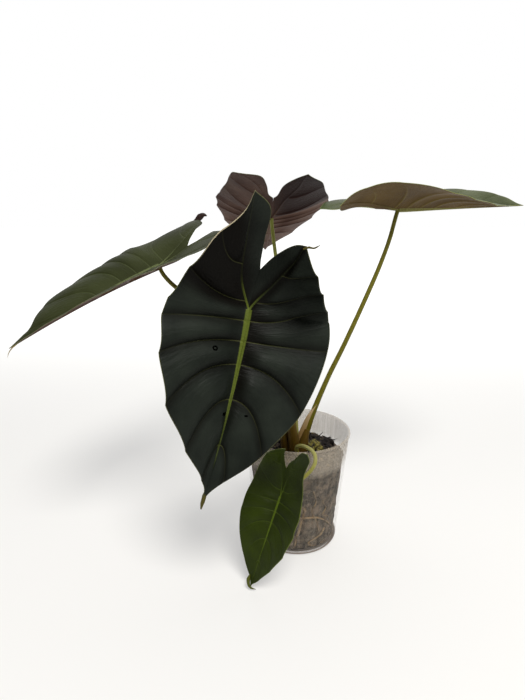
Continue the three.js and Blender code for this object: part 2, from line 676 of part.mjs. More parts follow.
// Materials, one for each kind of surface
const finish = (color, roughness, extra = {}) =>
  new THREE.MeshStandardMaterial({ color, roughness, metalness: 0, ...extra });
const MATERIALS = {
  pot: finish(0xc9c3bb, 0.35, { transparent: true, opacity: 0.6 }),
  soil: finish(0x3a2f28, 0.95),
  granules: finish(0x7d7846, 0.9),
  root: finish(0xb09a72, 0.7),
  petiole: finish(0x8a8f56, 0.5),
  bladeFront: finish(0x1f2a26, 0.35),
  bladeSmall: finish(0x2f4a2c, 0.4),
  bladeBack: finish(0x4a3a3a, 0.5),
  bladeSide: finish(0x55604f, 0.45),
};
const BLADE_MATERIAL = {
  front: MATERIALS.bladeFront,
  small: MATERIALS.bladeSmall,
  back: MATERIALS.bladeBack,
  left: MATERIALS.bladeSide,
  right: MATERIALS.bladeSide,
};

const plant = new THREE.Group();

function place(name, solid, material) {
  const mesh = new THREE.Mesh(toGeometry(solid), material);
  mesh.name = name;
  plant.add(mesh);
}

place("pot", pot(), MATERIALS.pot);
place("soil", soil(), MATERIALS.soil);
place("pumice_granules", granules(), MATERIALS.granules);

place("corm_and_roots", cormAndRoots(), MATERIALS.root);

for (const name of Object.keys(LEAVES)) {
  const leaf = LEAVES[name];
  place(`blade_${name}`, toSolid(blade(leaf)), BLADE_MATERIAL[name]);
  const joint = toSolid(blade(leaf, CLEARANCE)).add(cormAndRoots(CLEARANCE));
  const stem = petiole(name).subtract(joint);
  place(`petiole_${name}`, largest(stem), MATERIALS.petiole);
}

export default plant;
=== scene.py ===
import math

import bmesh
import bpy
import numpy as np
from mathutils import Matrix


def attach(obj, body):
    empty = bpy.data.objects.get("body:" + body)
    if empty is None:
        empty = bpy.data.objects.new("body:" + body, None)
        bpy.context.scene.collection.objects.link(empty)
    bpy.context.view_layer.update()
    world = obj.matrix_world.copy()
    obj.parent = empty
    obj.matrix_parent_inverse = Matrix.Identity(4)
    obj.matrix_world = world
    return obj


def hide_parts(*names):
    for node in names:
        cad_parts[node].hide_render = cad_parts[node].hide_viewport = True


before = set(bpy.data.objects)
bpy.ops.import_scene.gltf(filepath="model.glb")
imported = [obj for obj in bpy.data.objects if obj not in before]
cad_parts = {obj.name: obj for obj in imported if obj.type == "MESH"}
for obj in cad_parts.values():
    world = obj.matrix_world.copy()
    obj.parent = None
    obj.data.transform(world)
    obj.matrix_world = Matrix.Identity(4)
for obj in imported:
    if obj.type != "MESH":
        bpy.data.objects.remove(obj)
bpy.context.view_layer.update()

# Camera
# A phone camera half a metre in front of the pot and a little above the leaves' feet,
# looking down on the plant. 27 mm on a 36 mm sensor is its usual wide view.
CAMERA_PLACE = (-0.0357, -0.501, 0.3517)
CAMERA_DOWN = 16.15


def put(name, data):
    """A new object at the origin, linked into the scene."""
    placed = bpy.data.objects.new(name, data)
    bpy.context.scene.collection.objects.link(placed)
    return placed


camera_data = bpy.data.cameras.new("camera")
camera_data.sensor_width = 36
camera_data.lens = 27
camera = put("camera", camera_data)
camera.location = CAMERA_PLACE
camera.rotation_euler = (math.radians(90 - CAMERA_DOWN), 0, 0)
bpy.context.scene.camera = camera


# Pot
# A thin tapered cup, thermoformed in one piece from frosted translucent polypropylene.
# It has a small bead round its rim, drain holes in its flat base and faint vertical
# streaks from the mould, and light comes through its walls.
MM = 0.001
POT_RIM_RADIUS = 55.0
POT_BASE_RADIUS = 43.5
POT_HEIGHT = 122.0
POT_WALL = 1.1
POT_CORNER = 4.0
POT_SEGMENTS = 160
BEAD_RADIUS = 1.5
FLOOR_THICKNESS = 1.3
DRAINS = 6
DRAIN_RADIUS = 3.5
DRAIN_CIRCLE = 27
DRILL_DEPTH = 6
# heights in metres between which damp soil stops showing through, and the foot's stain fades
SOIL_LINE = (0.088, 0.1)
FOOT_STAIN = (0.0025, 0.0055)


def mix(a, b, t):
    return a + (b - a) * t


def outer_radius(z):
    return mix(POT_BASE_RADIUS, POT_RIM_RADIUS - 0.8, z / POT_HEIGHT)


def inner_radius(z):
    return outer_radius(z) - POT_WALL


def colour(hex_code):
    """sRGB hex, such as "7f8a3c", to the linear colour that a shader takes."""
    parts = [int(hex_code[i : i + 2], 16) / 255 for i in (0, 2, 4)]
    return (*[p / 12.92 if p <= 0.04045 else ((p + 0.055) / 1.055) ** 2.4 for p in parts], 1.0)


def add_node(tree, kind, inputs=None, links=None, **settings):
    """One node with its settings, its inputs' values and the sockets linked to its inputs."""
    node = tree.nodes.new(kind)
    for name, value in settings.items():
        setattr(node, name, value)
    for name, value in (inputs or {}).items():
        node.inputs[name].default_value = value
    for name, socket in (links or {}).items():
        tree.links.new(socket, node.inputs[name])
    return node


def new_material(name, **shader):
    """A material with one Principled shader, whose inputs are given by name."""
    material = bpy.data.materials.new(name)
    material.use_nodes = True
    tree = material.node_tree
    principled = tree.nodes["Principled BSDF"]
    for key, value in shader.items():
        principled.inputs[key.replace("_", " ")].default_value = value
    return material, tree, principled


def place_mesh(name, mesh, *materials):
    """A new object with this mesh, smooth shaded."""
    for material in materials:
        mesh.materials.append(material)
    mesh.polygons.foreach_set("use_smooth", [True] * len(mesh.polygons))
    return put(name, mesh)


def place_body(name, body, material):
    """The same from a bmesh, with its faces turned outwards."""
    bmesh.ops.recalc_face_normals(body, faces=body.faces)
    mesh = bpy.data.meshes.new(name)
    body.to_mesh(mesh)
    body.free()
    return place_mesh(name, mesh, material)


def lathe(name, profile, segments, material):
    """A closed body turned from an outline of (radius, height) points in mm."""
    body = bmesh.new()
    rings = []
    for radius, height in profile:
        if radius < 1e-6:
            rings.append([body.verts.new((0, 0, height * MM))] * segments)
            continue
        ring = []
        for k in range(segments):
            turn = 2 * math.pi * k / segments
            place = (radius * math.cos(turn) * MM, radius * math.sin(turn) * MM, height * MM)
            ring.append(body.verts.new(place))
        rings.append(ring)
    for low, high in zip(rings, rings[1:]):
        for k in range(segments):
            corners = [low[k], low[(k + 1) % segments], high[(k + 1) % segments], high[k]]
            unique = list(dict.fromkeys(corners))
            if len(unique) > 2:
                body.faces.new(unique)
    return place_body(name, body, material)


def pot_profile():
    """Outline of the cup's wall from the middle of its underside round to its inside."""
    wall = [(outer_radius(z), z) for z in np.linspace(POT_CORNER, POT_HEIGHT - 5, 12)]
    corner = []
    for turn in np.linspace(0, math.pi / 2, 6)[1:-1]:
        radius = outer_radius(0) - POT_CORNER + POT_CORNER * math.sin(turn)
        corner.append((radius, POT_CORNER * (1 - math.cos(turn))))
    bead = []
    for turn in np.linspace(-70, 110, 9):
        radius = POT_RIM_RADIUS - BEAD_RADIUS + BEAD_RADIUS * math.cos(math.radians(turn))
        bead.append((radius, POT_HEIGHT - BEAD_RADIUS + BEAD_RADIUS * math.sin(math.radians(turn))))
    inside = [(inner_radius(z), z) for z in np.linspace(POT_HEIGHT - BEAD_RADIUS, POT_CORNER + 1, 12)]
    foot = [(0, 0), (outer_radius(0) - POT_CORNER, 0)]
    floor = [(inner_radius(0) - POT_CORNER, FLOOR_THICKNESS), (0, FLOOR_THICKNESS)]
    return foot + corner + wall + bead + inside + floor


# Frosted polypropylene: cloudy and slightly warm. Where damp soil lies against the wall it
# shows through; the dry wall above is cloudier, and the thick foot is stained brown
pot_plastic, tree, shader = new_material(
    "frosted_polypropylene_thermoformed", Roughness=0.38, IOR=1.49
)
position = add_node(tree, "ShaderNodeTexCoord").outputs["Object"]
streaks = add_node(
    tree, "ShaderNodeMapping", inputs={"Scale": (420, 420, 14)}, links={"Vector": position}
)
grain = add_node(
    tree, "ShaderNodeTexNoise", inputs={"Scale": 1.0, "Detail": 3.0},
    links={"Vector": streaks.outputs["Vector"]},
)
bump = add_node(
    tree, "ShaderNodeBump", inputs={"Strength": 0.25, "Distance": 0.0004},
    links={"Height": grain.outputs["Fac"]},
)
tree.links.new(bump.outputs["Normal"], shader.inputs["Normal"])
height = add_node(tree, "ShaderNodeSeparateXYZ", links={0: position})
haze = add_node(
    tree, "ShaderNodeMapRange", interpolation_type="SMOOTHSTEP",
    inputs={"From Min": SOIL_LINE[0], "From Max": SOIL_LINE[1], "To Min": 0.06, "To Max": 0.36},
    links={"Value": height.outputs["Z"]},
)
streaky = add_node(
    tree, "ShaderNodeMapRange",
    inputs={"From Min": 0.3, "From Max": 0.7, "To Min": -0.05, "To Max": 0.07},
    links={"Value": grain.outputs["Fac"]},
)
cloud = add_node(
    tree, "ShaderNodeMath", operation="ADD", links={0: haze.outputs[0], 1: streaky.outputs[0]}
)
foot = add_node(
    tree, "ShaderNodeMapRange", interpolation_type="SMOOTHSTEP",
    inputs={"From Min": FOOT_STAIN[0], "From Max": FOOT_STAIN[1], "To Min": 0.8, "To Max": 0.0},
    links={"Value": height.outputs["Z"]},
)
cover = add_node(
    tree, "ShaderNodeMath", operation="ADD", links={0: cloud.outputs[0], 1: foot.outputs[0]}
)
tree.links.new(cover.outputs[0], shader.inputs["Alpha"])
stain = add_node(tree, "ShaderNodeMix", data_type="RGBA", links={"Factor": foot.outputs[0]})
stain.inputs[6].default_value = colour("b9ae9d")
stain.inputs[7].default_value = colour("5a3f2a")
tree.links.new(stain.outputs[2], shader.inputs["Base Color"])

pot = lathe("pot_cup", pot_profile(), POT_SEGMENTS, pot_plastic)
for i in range(DRAINS):
    turn = 2 * math.pi * (i + 0.5) / DRAINS
    bpy.ops.mesh.primitive_cylinder_add(
        vertices=24, radius=DRAIN_RADIUS * MM, depth=DRILL_DEPTH * MM,
        location=(DRAIN_CIRCLE * MM * math.cos(turn), DRAIN_CIRCLE * MM * math.sin(turn), 0),
    )
    drill = bpy.context.object
    cut = pot.modifiers.new("drain", "BOOLEAN")
    cut.object = drill
    cut.solver = "EXACT"
    bpy.context.view_layer.objects.active = pot
    bpy.ops.object.modifier_apply(modifier="drain")
    bpy.data.objects.remove(drill)
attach(pot, "root")
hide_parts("pot")


# Soil
# A damp mix of composted bark, coir and pumice that has settled into the cup. It is one
# dark, crumbly body that just clears the wall, with loose chips and crumbs on its top.
SOIL_LEVEL = 97.0
SOIL_GAP = 1.1
SOIL_RINGS = 44
SOIL_SEGMENTS = 150
SOIL_FLOOR = 1.6


def soil_height(x, y):
    """The settled mix's own level at a place, in gentle waves."""
    wave = 1.6 * math.sin(0.16 * x + 1) * math.cos(0.19 * y)
    return SOIL_LEVEL + wave + 0.9 * math.sin(0.37 * x - 0.31 * y)


def settle(piece, name):
    """The evaluated piece as a plain mesh object, its modifiers gone."""
    graph = bpy.context.evaluated_depsgraph_get()
    mesh = bpy.data.meshes.new_from_object(piece.evaluated_get(graph))
    bpy.data.objects.remove(piece)
    mesh.name = name
    return put(name, mesh)


def new_tree(name, inputs):
    """An empty Geometry Nodes tree with named inputs: (name, socket type, default)."""
    tree = bpy.data.node_groups.new(name, "GeometryNodeTree")
    tree.interface.new_socket("Geometry", in_out="INPUT", socket_type="NodeSocketGeometry")
    for label, kind, value in inputs:
        socket = tree.interface.new_socket(label, in_out="INPUT", socket_type=kind)
        if value is not None:
            socket.default_value = value
    tree.interface.new_socket("Geometry", in_out="OUTPUT", socket_type="NodeSocketGeometry")
    given = tree.nodes.new("NodeGroupInput")
    made = tree.nodes.new("NodeGroupOutput")
    return tree, given, made


def run_tree(piece, tree, values):
    """Puts a tree on a piece with values for its named inputs."""
    modifier = piece.modifiers.new(tree.name, "NODES")
    modifier.node_group = tree
    for item in tree.interface.items_tree:
        if item.item_type == "SOCKET" and item.in_out == "INPUT" and item.name in values:
            modifier[item.identifier] = values[item.name]
    return modifier


def blotched(name, dark, light, grain, spread, rough, relief=None):
    """
    A porous or grown stuff, blotched between two tones. grain is the noise's inputs, spread
    the noise between which the tones change, and relief the pits' texture, its inputs, which
    output is read and the bump's strength and depth in mm.
    """
    material, tree, shader = new_material(name, Roughness=rough)
    spot = add_node(tree, "ShaderNodeTexCoord").outputs["Object"]
    blotch = add_node(tree, "ShaderNodeTexNoise", inputs=grain, links={"Vector": spot})
    ramp = add_node(tree, "ShaderNodeValToRGB", links={"Fac": blotch.outputs["Fac"]})
    for stop, position, tone in zip(ramp.color_ramp.elements, spread, (dark, light)):
        stop.position = position
        stop.color = colour(tone)
    tree.links.new(ramp.outputs["Color"], shader.inputs["Base Color"])
    if relief:
        kind, inputs, reading, strength, depth = relief
        pits = add_node(tree, kind, inputs=inputs, links={"Vector": spot})
        bump = add_node(
            tree, "ShaderNodeBump", inputs={"Strength": strength, "Distance": depth * MM},
            links={"Height": pits.outputs[reading]},
        )
        tree.links.new(bump.outputs["Normal"], shader.inputs["Normal"])
    return material


# Damp bark and coir: dark brown, matt, blotched lighter where it is drier
soil_mix = blotched(
    "damp_bark_and_coir_mix", "0c0a08", "6a5c4e", spread=(0.42, 0.62), rough=0.9,
    grain={"Scale": 110.0, "Detail": 6.0, "Roughness": 0.7},
    relief=("ShaderNodeTexNoise", {"Scale": 700.0, "Detail": 4.0}, "Fac", 0.8, 0.8),
)


def soil_profile():
    """Outline of the soil from its floor up the wall and in across its top."""
    side = [(inner_radius(z) - SOIL_GAP, z) for z in np.linspace(6, SOIL_LEVEL - 3, 26)]
    # its bottom edge is cut off, to clear the cup's rounded corner
    foot = inner_radius(0)
    low = [(0, SOIL_FLOOR), (foot - 5.2, SOIL_FLOOR), (foot - 2.6, 2 * SOIL_FLOOR)]
    edge = side[-1][0]
    top = [(edge * (1 - i / SOIL_RINGS), SOIL_LEVEL) for i in range(SOIL_RINGS + 1)]
    return low + side + top


soil = lathe("soil_mix", soil_profile(), SOIL_SEGMENTS, soil_mix)
for vertex in soil.data.vertices:
    x, y, z = [c / MM for c in vertex.co]
    if z > SOIL_LEVEL - 0.5:
        vertex.co.z = soil_height(x, y) * MM

# Crumbles the soil's surface: lumps a few millimetres across, pushed in from the wall
crumble, given, made = new_tree("soil_crumble", [("Depth", "NodeSocketFloat", 0.001)])
lumps = add_node(crumble, "ShaderNodeTexVoronoi", inputs={"Scale": 170.0})
fine = add_node(crumble, "ShaderNodeTexNoise", inputs={"Scale": 260.0, "Detail": 4.0})
both = add_node(
    crumble, "ShaderNodeMath", operation="ADD",
    links={0: lumps.outputs["Distance"], 1: fine.outputs["Fac"]},
)
depth = add_node(
    crumble, "ShaderNodeMath", operation="MULTIPLY",
    links={0: both.outputs[0], 1: given.outputs["Depth"]},
)
inward = add_node(
    crumble, "ShaderNodeVectorMath", operation="SCALE",
    links={0: add_node(crumble, "GeometryNodeInputNormal").outputs[0], "Scale": depth.outputs[0]},
)
pushed = add_node(
    crumble, "GeometryNodeSetPosition",
    links={"Geometry": given.outputs["Geometry"], "Offset": inward.outputs[0]},
)
crumble.links.new(pushed.outputs[0], made.inputs[0])
run_tree(soil, crumble, {"Depth": -0.0016})
soil = settle(soil, "soil_mix")
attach(soil, "root")
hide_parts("soil")


# Bark chips and crumbs
# Broken flakes of black composted bark and paler crumbs of pumice, loose on the soil.
# They are scattered over the top of the mix, denser chips first, and never on the wall.
def chip_shape(name, seed, size, flat):
    """One broken flake, about size mm across."""
    draw = np.random.default_rng(seed)
    mesh = bpy.data.meshes.new(name)
    body = bmesh.new()
    bmesh.ops.create_icosphere(body, subdivisions=1, radius=0.5 * size * MM)
    for vertex in body.verts:
        vertex.co *= 0.6 + 0.8 * draw.random()
        vertex.co.z *= flat
    body.to_mesh(mesh)
    body.free()
    return mesh


def scatter_tree(name):
    """Instances one of a collection's shapes at random spots on the faces that look up."""
    tree, given, made = new_tree(
        name,
        [
            ("Shapes", "NodeSocketCollection", None),
            ("Density", "NodeSocketFloat", 10000.0),
            ("Spacing", "NodeSocketFloat", 0.002),
            ("Seed", "NodeSocketInt", 1),
            ("Smallest", "NodeSocketFloat", 0.6),
            ("Largest", "NodeSocketFloat", 1.4),
            ("Material", "NodeSocketMaterial", None),
        ],
    )
    normal = add_node(tree, "GeometryNodeInputNormal")
    parts = add_node(tree, "ShaderNodeSeparateXYZ", links={0: normal.outputs[0]})
    faces_up = add_node(
        tree, "ShaderNodeMath", operation="GREATER_THAN", inputs={1: 0.6},
        links={0: parts.outputs["Z"]},
    )
    spots = add_node(
        tree, "GeometryNodeDistributePointsOnFaces", distribute_method="POISSON",
        links={
            "Mesh": given.outputs["Geometry"],
            "Selection": faces_up.outputs[0],
            "Distance Min": given.outputs["Spacing"],
            "Density Max": given.outputs["Density"],
            "Seed": given.outputs["Seed"],
        },
    )
    shapes = add_node(
        tree, "GeometryNodeCollectionInfo",
        inputs={"Separate Children": True, "Reset Children": True},
        links={"Collection": given.outputs["Shapes"]},
    )
    turn = add_node(
        tree, "FunctionNodeRandomValue", data_type="FLOAT_VECTOR",
        links={"Seed": given.outputs["Seed"]},
    )
    turn.inputs[0].default_value = (-0.9, -0.9, 0)
    turn.inputs[1].default_value = (0.9, 0.9, 6.28)
    size = add_node(
        tree, "FunctionNodeRandomValue", data_type="FLOAT",
        links={
            "Min": given.outputs["Smallest"],
            "Max": given.outputs["Largest"],
            "Seed": given.outputs["Seed"],
        },
    )
    copies = add_node(
        tree, "GeometryNodeInstanceOnPoints", inputs={"Pick Instance": True},
        links={
            "Points": spots.outputs["Points"],
            "Instance": shapes.outputs[0],
            "Rotation": turn.outputs[0],
            "Scale": size.outputs["Value"],
        },
    )
    real = add_node(tree, "GeometryNodeRealizeInstances", links={"Geometry": copies.outputs[0]})
    coated = add_node(
        tree, "GeometryNodeSetMaterial",
        links={"Geometry": real.outputs[0], "Material": given.outputs["Material"]},
    )
    tree.links.new(coated.outputs[0], made.inputs[0])
    return tree


def shapes_collection(name, count, size, flat):
    group = bpy.data.collections.new(name)
    for i in range(count):
        shape = chip_shape(f"{name}_{i}", i + 1, size, flat)
        group.objects.link(bpy.data.objects.new(f"{name}_{i}", shape))
    return group


# Composted bark is nearly black and dull; pumice is a porous, dirty beige stone
CRUMB_GRAIN = {"Scale": 240.0, "Detail": 3.0}
CRUMB_FINISH = {
    "grain": CRUMB_GRAIN, "spread": (0.35, 0.65), "rough": 0.88,
    "relief": ("ShaderNodeTexNoise", CRUMB_GRAIN, "Fac", 0.6, 0.5),
}
bark_black = blotched("composted_pine_bark", "090706", "1f1611", **CRUMB_FINISH)
pumice_beige = blotched("pumice_stained", "5a4c34", "93825f", **CRUMB_FINISH)

scatter = scatter_tree("scatter_on_soil")
# piece, material, number of shapes, their size in mm and flatness, spacing in m and seed
SCATTERED = [
    ("bark_chips", bark_black, 5, 6.5, 0.45, 0.0042, 11),
    ("bark_crumbs", bark_black, 4, 2.6, 0.7, 0.0022, 23),
    ("pumice_crumbs", pumice_beige, 3, 2.8, 0.9, 0.0075, 37),
]
for name, material, count, size, flat, spacing, seed in SCATTERED:
    carrier = put(name, soil.data.copy())
    shapes = shapes_collection(f"{name}_shape", count, size, flat)
    run_tree(
        carrier, scatter,
        {"Shapes": shapes, "Density": 60000.0, "Spacing": spacing, "Seed": seed, "Material": material},
    )
    piece = settle(carrier, name)
    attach(piece, "root")


# Bark shards
# Long splinters of black bark that stick up out of the mix at the back right, by the wall.
# Each is a thin wedge with five sides, leaning at random in that sector.
SHARDS = 46
SHARD_SECTOR = (18, 80)
SHARD_REACH = (26, 46)
SHARD_LENGTH = (5, 10)
SHARD_RADIUS = (0.9, 1.8)
SHARD_LEAN = 75
SHARD_FLATNESS = 0.55
body = bmesh.new()
draw = np.random.default_rng(5)
for i in range(SHARDS):
    away = mix(*SHARD_REACH, draw.random())
    turn = math.radians(mix(*SHARD_SECTOR, draw.random()))
    length = mix(*SHARD_LENGTH, draw.random())
    radius = mix(*SHARD_RADIUS, draw.random())
    made = bmesh.ops.create_cone(
        body, segments=5, radius1=radius * MM, radius2=0.1 * MM, depth=length * MM, cap_ends=True
    )
    lean = np.radians(draw.uniform(-SHARD_LEAN, SHARD_LEAN, 2))
    place = (away * math.cos(turn), away * math.sin(turn), SOIL_LEVEL + 1.2 + 2.2 * draw.random())
    (cos_x, cos_y), (sin_x, sin_y) = np.cos(lean), np.sin(lean)
    for vertex in made["verts"]:
        x, y, z = vertex.co
        y *= SHARD_FLATNESS
        x, z = x * cos_x + z * sin_x, z * cos_x - x * sin_x
        y, z = y * cos_y + z * sin_y, z * cos_y - y * sin_y
        vertex.co = (x + place[0] * MM, y + place[1] * MM, z + place[2] * MM)
piece = place_body("bark_shards", body, bark_black)
piece.data.polygons.foreach_set("use_smooth", [False] * len(piece.data.polygons))
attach(piece, "root")


# Granules beside the right petiole
# A heap of pumice granules, olive green with algae, that lies on the mix where it stays wet.
# Each is a rounded, pitted stone, 3 to 6 mm across.

# Pumice under a film of algae: olive, blotched nearly black in its pits
granule_green = blotched(
    "pumice_green_with_algae", "181405", "857b2c", spread=(0.38, 0.66), rough=0.75,
    grain={"Scale": 260.0, "Detail": 4.0},
    relief=("ShaderNodeTexVoronoi", {"Scale": 900.0}, "Distance", 0.5, 0.4),
)

HEAP_MIDDLE = (19.5, 4.5)
HEAP_STONES = 46
HEAP_REACH = 10.5
HEAP_RISE = 7.5
HEAP_SPREAD = 7
body = bmesh.new()
draw = np.random.default_rng(12)
for i in range(HEAP_STONES):
    away = HEAP_REACH * math.sqrt((i + 0.5) / HEAP_STONES)
    turn = 2.4 * i + 0.4 * draw.random()
    x = HEAP_MIDDLE[0] + 0.75 * away * math.cos(turn)
    y = HEAP_MIDDLE[1] + away * math.sin(turn)
    z = SOIL_LEVEL + HEAP_RISE * math.exp(-((away / HEAP_SPREAD) ** 2)) + 0.8 * draw.random()
    size = 3 + 2.6 * draw.random()
    stone = bmesh.ops.create_icosphere(body, subdivisions=2, radius=0.5 * size * MM)
    bumps = draw.normal(size=(5, 3))
    squash = 0.65 + 0.5 * draw.random(3)
    for vertex in stone["verts"]:
        direction = np.array(vertex.co) / (0.5 * size * MM)
        wave = sum(math.sin(2.6 * float(direction @ b)) for b in bumps)
        vertex.co = [c * f * (1 + 0.09 * wave) for c, f in zip(vertex.co, squash)]
        vertex.co += type(vertex.co)((x * MM, y * MM, z * MM))
granules = place_body("algae_granules", body, granule_green)
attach(granules, "root")
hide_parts("pumice_granules")


# Corm and roots
# The plant's short corm sits under the crown. Its tan to brown roots run out to the wall,
# turn down along it and show through the frosted plastic.
CORM_MIDDLE = SOIL_LEVEL - 34
CORM_HALF_HEIGHT = 17
CORM_RADIUS = 15
ROOT_SIDES = 10
# radius, the angle at which the root leaves the corm, and its (angle, height) along the wall
ROOTS = [
    (1.6, -100, [(-83, 56), (-85.5, 42), (-88, 30), (-92, 19), (-94, 6)]),
    (1.2, -62, [(-88, 44.5), (-79, 44.5), (-66, 43), (-48, 34), (-33, 22)]),
    (1.1, -40, [(-55, 20), (-64, 17), (-75, 12.5), (-66, 7.5), (-46, 6.5), (-25, 7)]),
    (1.5, 20, [(12, 70), (18, 50), (26, 30), (22, 10)]),
    (1.4, 95, [(80, 66), (92, 44), (104, 26), (100, 9)]),
    (1.5, 150, [(150, 60), (162, 40), (158, 22), (170, 8)]),
    (1.3, -150, [(-140, 66), (-148, 46), (-142, 26), (-150, 9)]),
    (0.8, -70, [(-72, 74), (-68, 62), (-73, 52), (-66, 40), (-60, 26)]),
    (0.7, -50, [(-58, 60), (-52, 52), (-56, 44), (-44, 38), (-38, 28)]),
    (0.7, -110, [(-96, 50), (-104, 40), (-100, 28), (-108, 16)]),
]

# Young aroid root: tan, dull and mottled with what sticks to it
root_skin = blotched(
    "aroid_root_skin", "3f2f1e", "7d6645", spread=(0.35, 0.6), rough=0.6,
    grain={"Scale": 150.0, "Detail": 5.0},
)


def smooth_path(points, count):
    """Points spread evenly along a smooth curve, without loops, through the given ones."""
    given = [np.array(p, float) for p in points]
    ends = [2 * given[0] - given[1]] + given + [2 * given[-1] - given[-2]]
    dense = []
    for p0, p1, p2, p3 in zip(ends, ends[1:], ends[2:], ends[3:]):
        knots = [0.0]
        for a, b in ((p0, p1), (p1, p2), (p2, p3)):
            knots.append(knots[-1] + max(np.linalg.norm(b - a), 1e-6) ** 0.5)
        for t in np.linspace(knots[1], knots[2], 24, endpoint=False):
            a1 = mix(p0, p1, (t - knots[0]) / (knots[1] - knots[0]))
            a2 = mix(p1, p2, (t - knots[1]) / (knots[2] - knots[1]))
            a3 = mix(p2, p3, (t - knots[2]) / (knots[3] - knots[2]))
            b1 = mix(a1, a2, (t - knots[0]) / (knots[2] - knots[0]))
            b2 = mix(a2, a3, (t - knots[1]) / (knots[3] - knots[1]))
            dense.append(mix(b1, b2, (t - knots[1]) / (knots[2] - knots[1])))
    dense.append(given[-1])
    dense = np.array(dense)
    walked = np.concatenate([[0], np.cumsum(np.linalg.norm(np.diff(dense, axis=0), axis=1))])
    even = np.linspace(0, walked[-1], count)
    return np.stack([np.interp(even, walked, dense[:, k]) for k in range(3)], axis=1)


def rod_tree(name):
    """Sweeps a circle along a curve whose points carry the radius, with lumps if wanted."""
    tree, given, made = new_tree(
        name,
        [
            ("Sides", "NodeSocketInt", 10),
            ("Lumpiness", "NodeSocketFloat", 0.0),
            ("Lump scale", "NodeSocketFloat", 100.0),
            ("Material", "NodeSocketMaterial", None),
        ],
    )
    circle = add_node(
        tree, "GeometryNodeCurvePrimitiveCircle", inputs={"Radius": 1.0},
        links={"Resolution": given.outputs["Sides"]},
    )
    radius = add_node(tree, "GeometryNodeInputRadius")
    tube = add_node(
        tree, "GeometryNodeCurveToMesh", inputs={"Fill Caps": True},
        links={"Curve": given.outputs["Geometry"], "Profile Curve": circle.outputs["Curve"]},
    )
    if "Scale" in tube.inputs:
        tree.links.new(radius.outputs[0], tube.inputs["Scale"])
    noise = add_node(
        tree, "ShaderNodeTexNoise", inputs={"Detail": 2.0},
        links={"Scale": given.outputs["Lump scale"]},
    )
    centred = add_node(
        tree, "ShaderNodeMath", operation="SUBTRACT", inputs={1: 0.5}, links={0: noise.outputs["Fac"]}
    )
    height = add_node(
        tree, "ShaderNodeMath", operation="MULTIPLY",
        links={0: centred.outputs[0], 1: given.outputs["Lumpiness"]},
    )
    offset = add_node(
        tree, "ShaderNodeVectorMath", operation="SCALE",
        links={0: add_node(tree, "GeometryNodeInputNormal").outputs[0], "Scale": height.outputs[0]},
    )
    lumpy = add_node(
        tree, "GeometryNodeSetPosition",
        links={"Geometry": tube.outputs[0], "Offset": offset.outputs[0]},
    )
    smooth = add_node(tree, "GeometryNodeSetShadeSmooth", links={"Geometry": lumpy.outputs[0]})
    coated = add_node(
        tree, "GeometryNodeSetMaterial",
        links={"Geometry": smooth.outputs[0], "Material": given.outputs["Material"]},
    )
    tree.links.new(coated.outputs[0], made.inputs[0])
    return tree


def rods(name, lines, material, sides, lumpiness=0.0, lump_scale=100.0):
    """One piece of several rods: each line is its points in mm and the radius at each."""
    curve = bpy.data.curves.new(name, "CURVE")
    curve.dimensions = "3D"
    for points, radii in lines:
        spline = curve.splines.new("POLY")
        spline.points.add(len(points) - 1)
        for spot, point, radius in zip(spline.points, points, radii):
            spot.co = (*[float(c) * MM for c in point], 1)
            spot.radius = float(radius) * MM
    carrier = put(name, curve)
    run_tree(
        carrier, sweep,
        {"Sides": sides, "Lumpiness": lumpiness, "Lump scale": lump_scale, "Material": material},
    )
    return settle(carrier, name)


sweep = rod_tree("rod_along_line")


def wall_point(angle, z, radius):
    """Where a root lies against the cup's wall, drawn in a little at its rounded corner."""
    corner = 0.5 * max(10 - z, 0)
    reach = inner_radius(z) - corner - radius - 0.5
    turn = math.radians(angle)
    return (reach * math.cos(turn), reach * math.sin(turn), z)


root_lines = []
for radius, start, rows in ROOTS:
    x, y, z = wall_point(start, rows[0][1], radius)
    inside = [(x * s, y * s, mix(CORM_MIDDLE, z, s * s)) for s in (0.25, 0.62, 0.9)]
    route = smooth_path(inside + [wall_point(a, h, radius) for a, h in rows], 70)
    girth = radius * np.linspace(1.2, 0.6, len(route))
    root_lines.append((route, girth))
# the corm is a short thick rod with a rounded top and bottom
corm_rise = np.linspace(-CORM_HALF_HEIGHT, CORM_HALF_HEIGHT, 24)
corm_route = [(0, 0, CORM_MIDDLE + rise) for rise in corm_rise]
corm_girth = CORM_RADIUS * np.sqrt(np.maximum(1 - (corm_rise / (CORM_HALF_HEIGHT + 0.2)) ** 2, 0.01))
root_lines.append((corm_route, corm_girth))
roots = rods(
    "corm_with_roots", root_lines, root_skin, ROOT_SIDES, lumpiness=0.0006, lump_scale=160.0
)
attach(roots, "root")
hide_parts("corm_and_roots")


# Petioles
# Five round, juicy leaf stalks, thick at the crown and slimmer towards the blade, olive
# green with faint length-ways streaks and browner at the foot, grown from the corm.
PETIOLE_START = 72.0
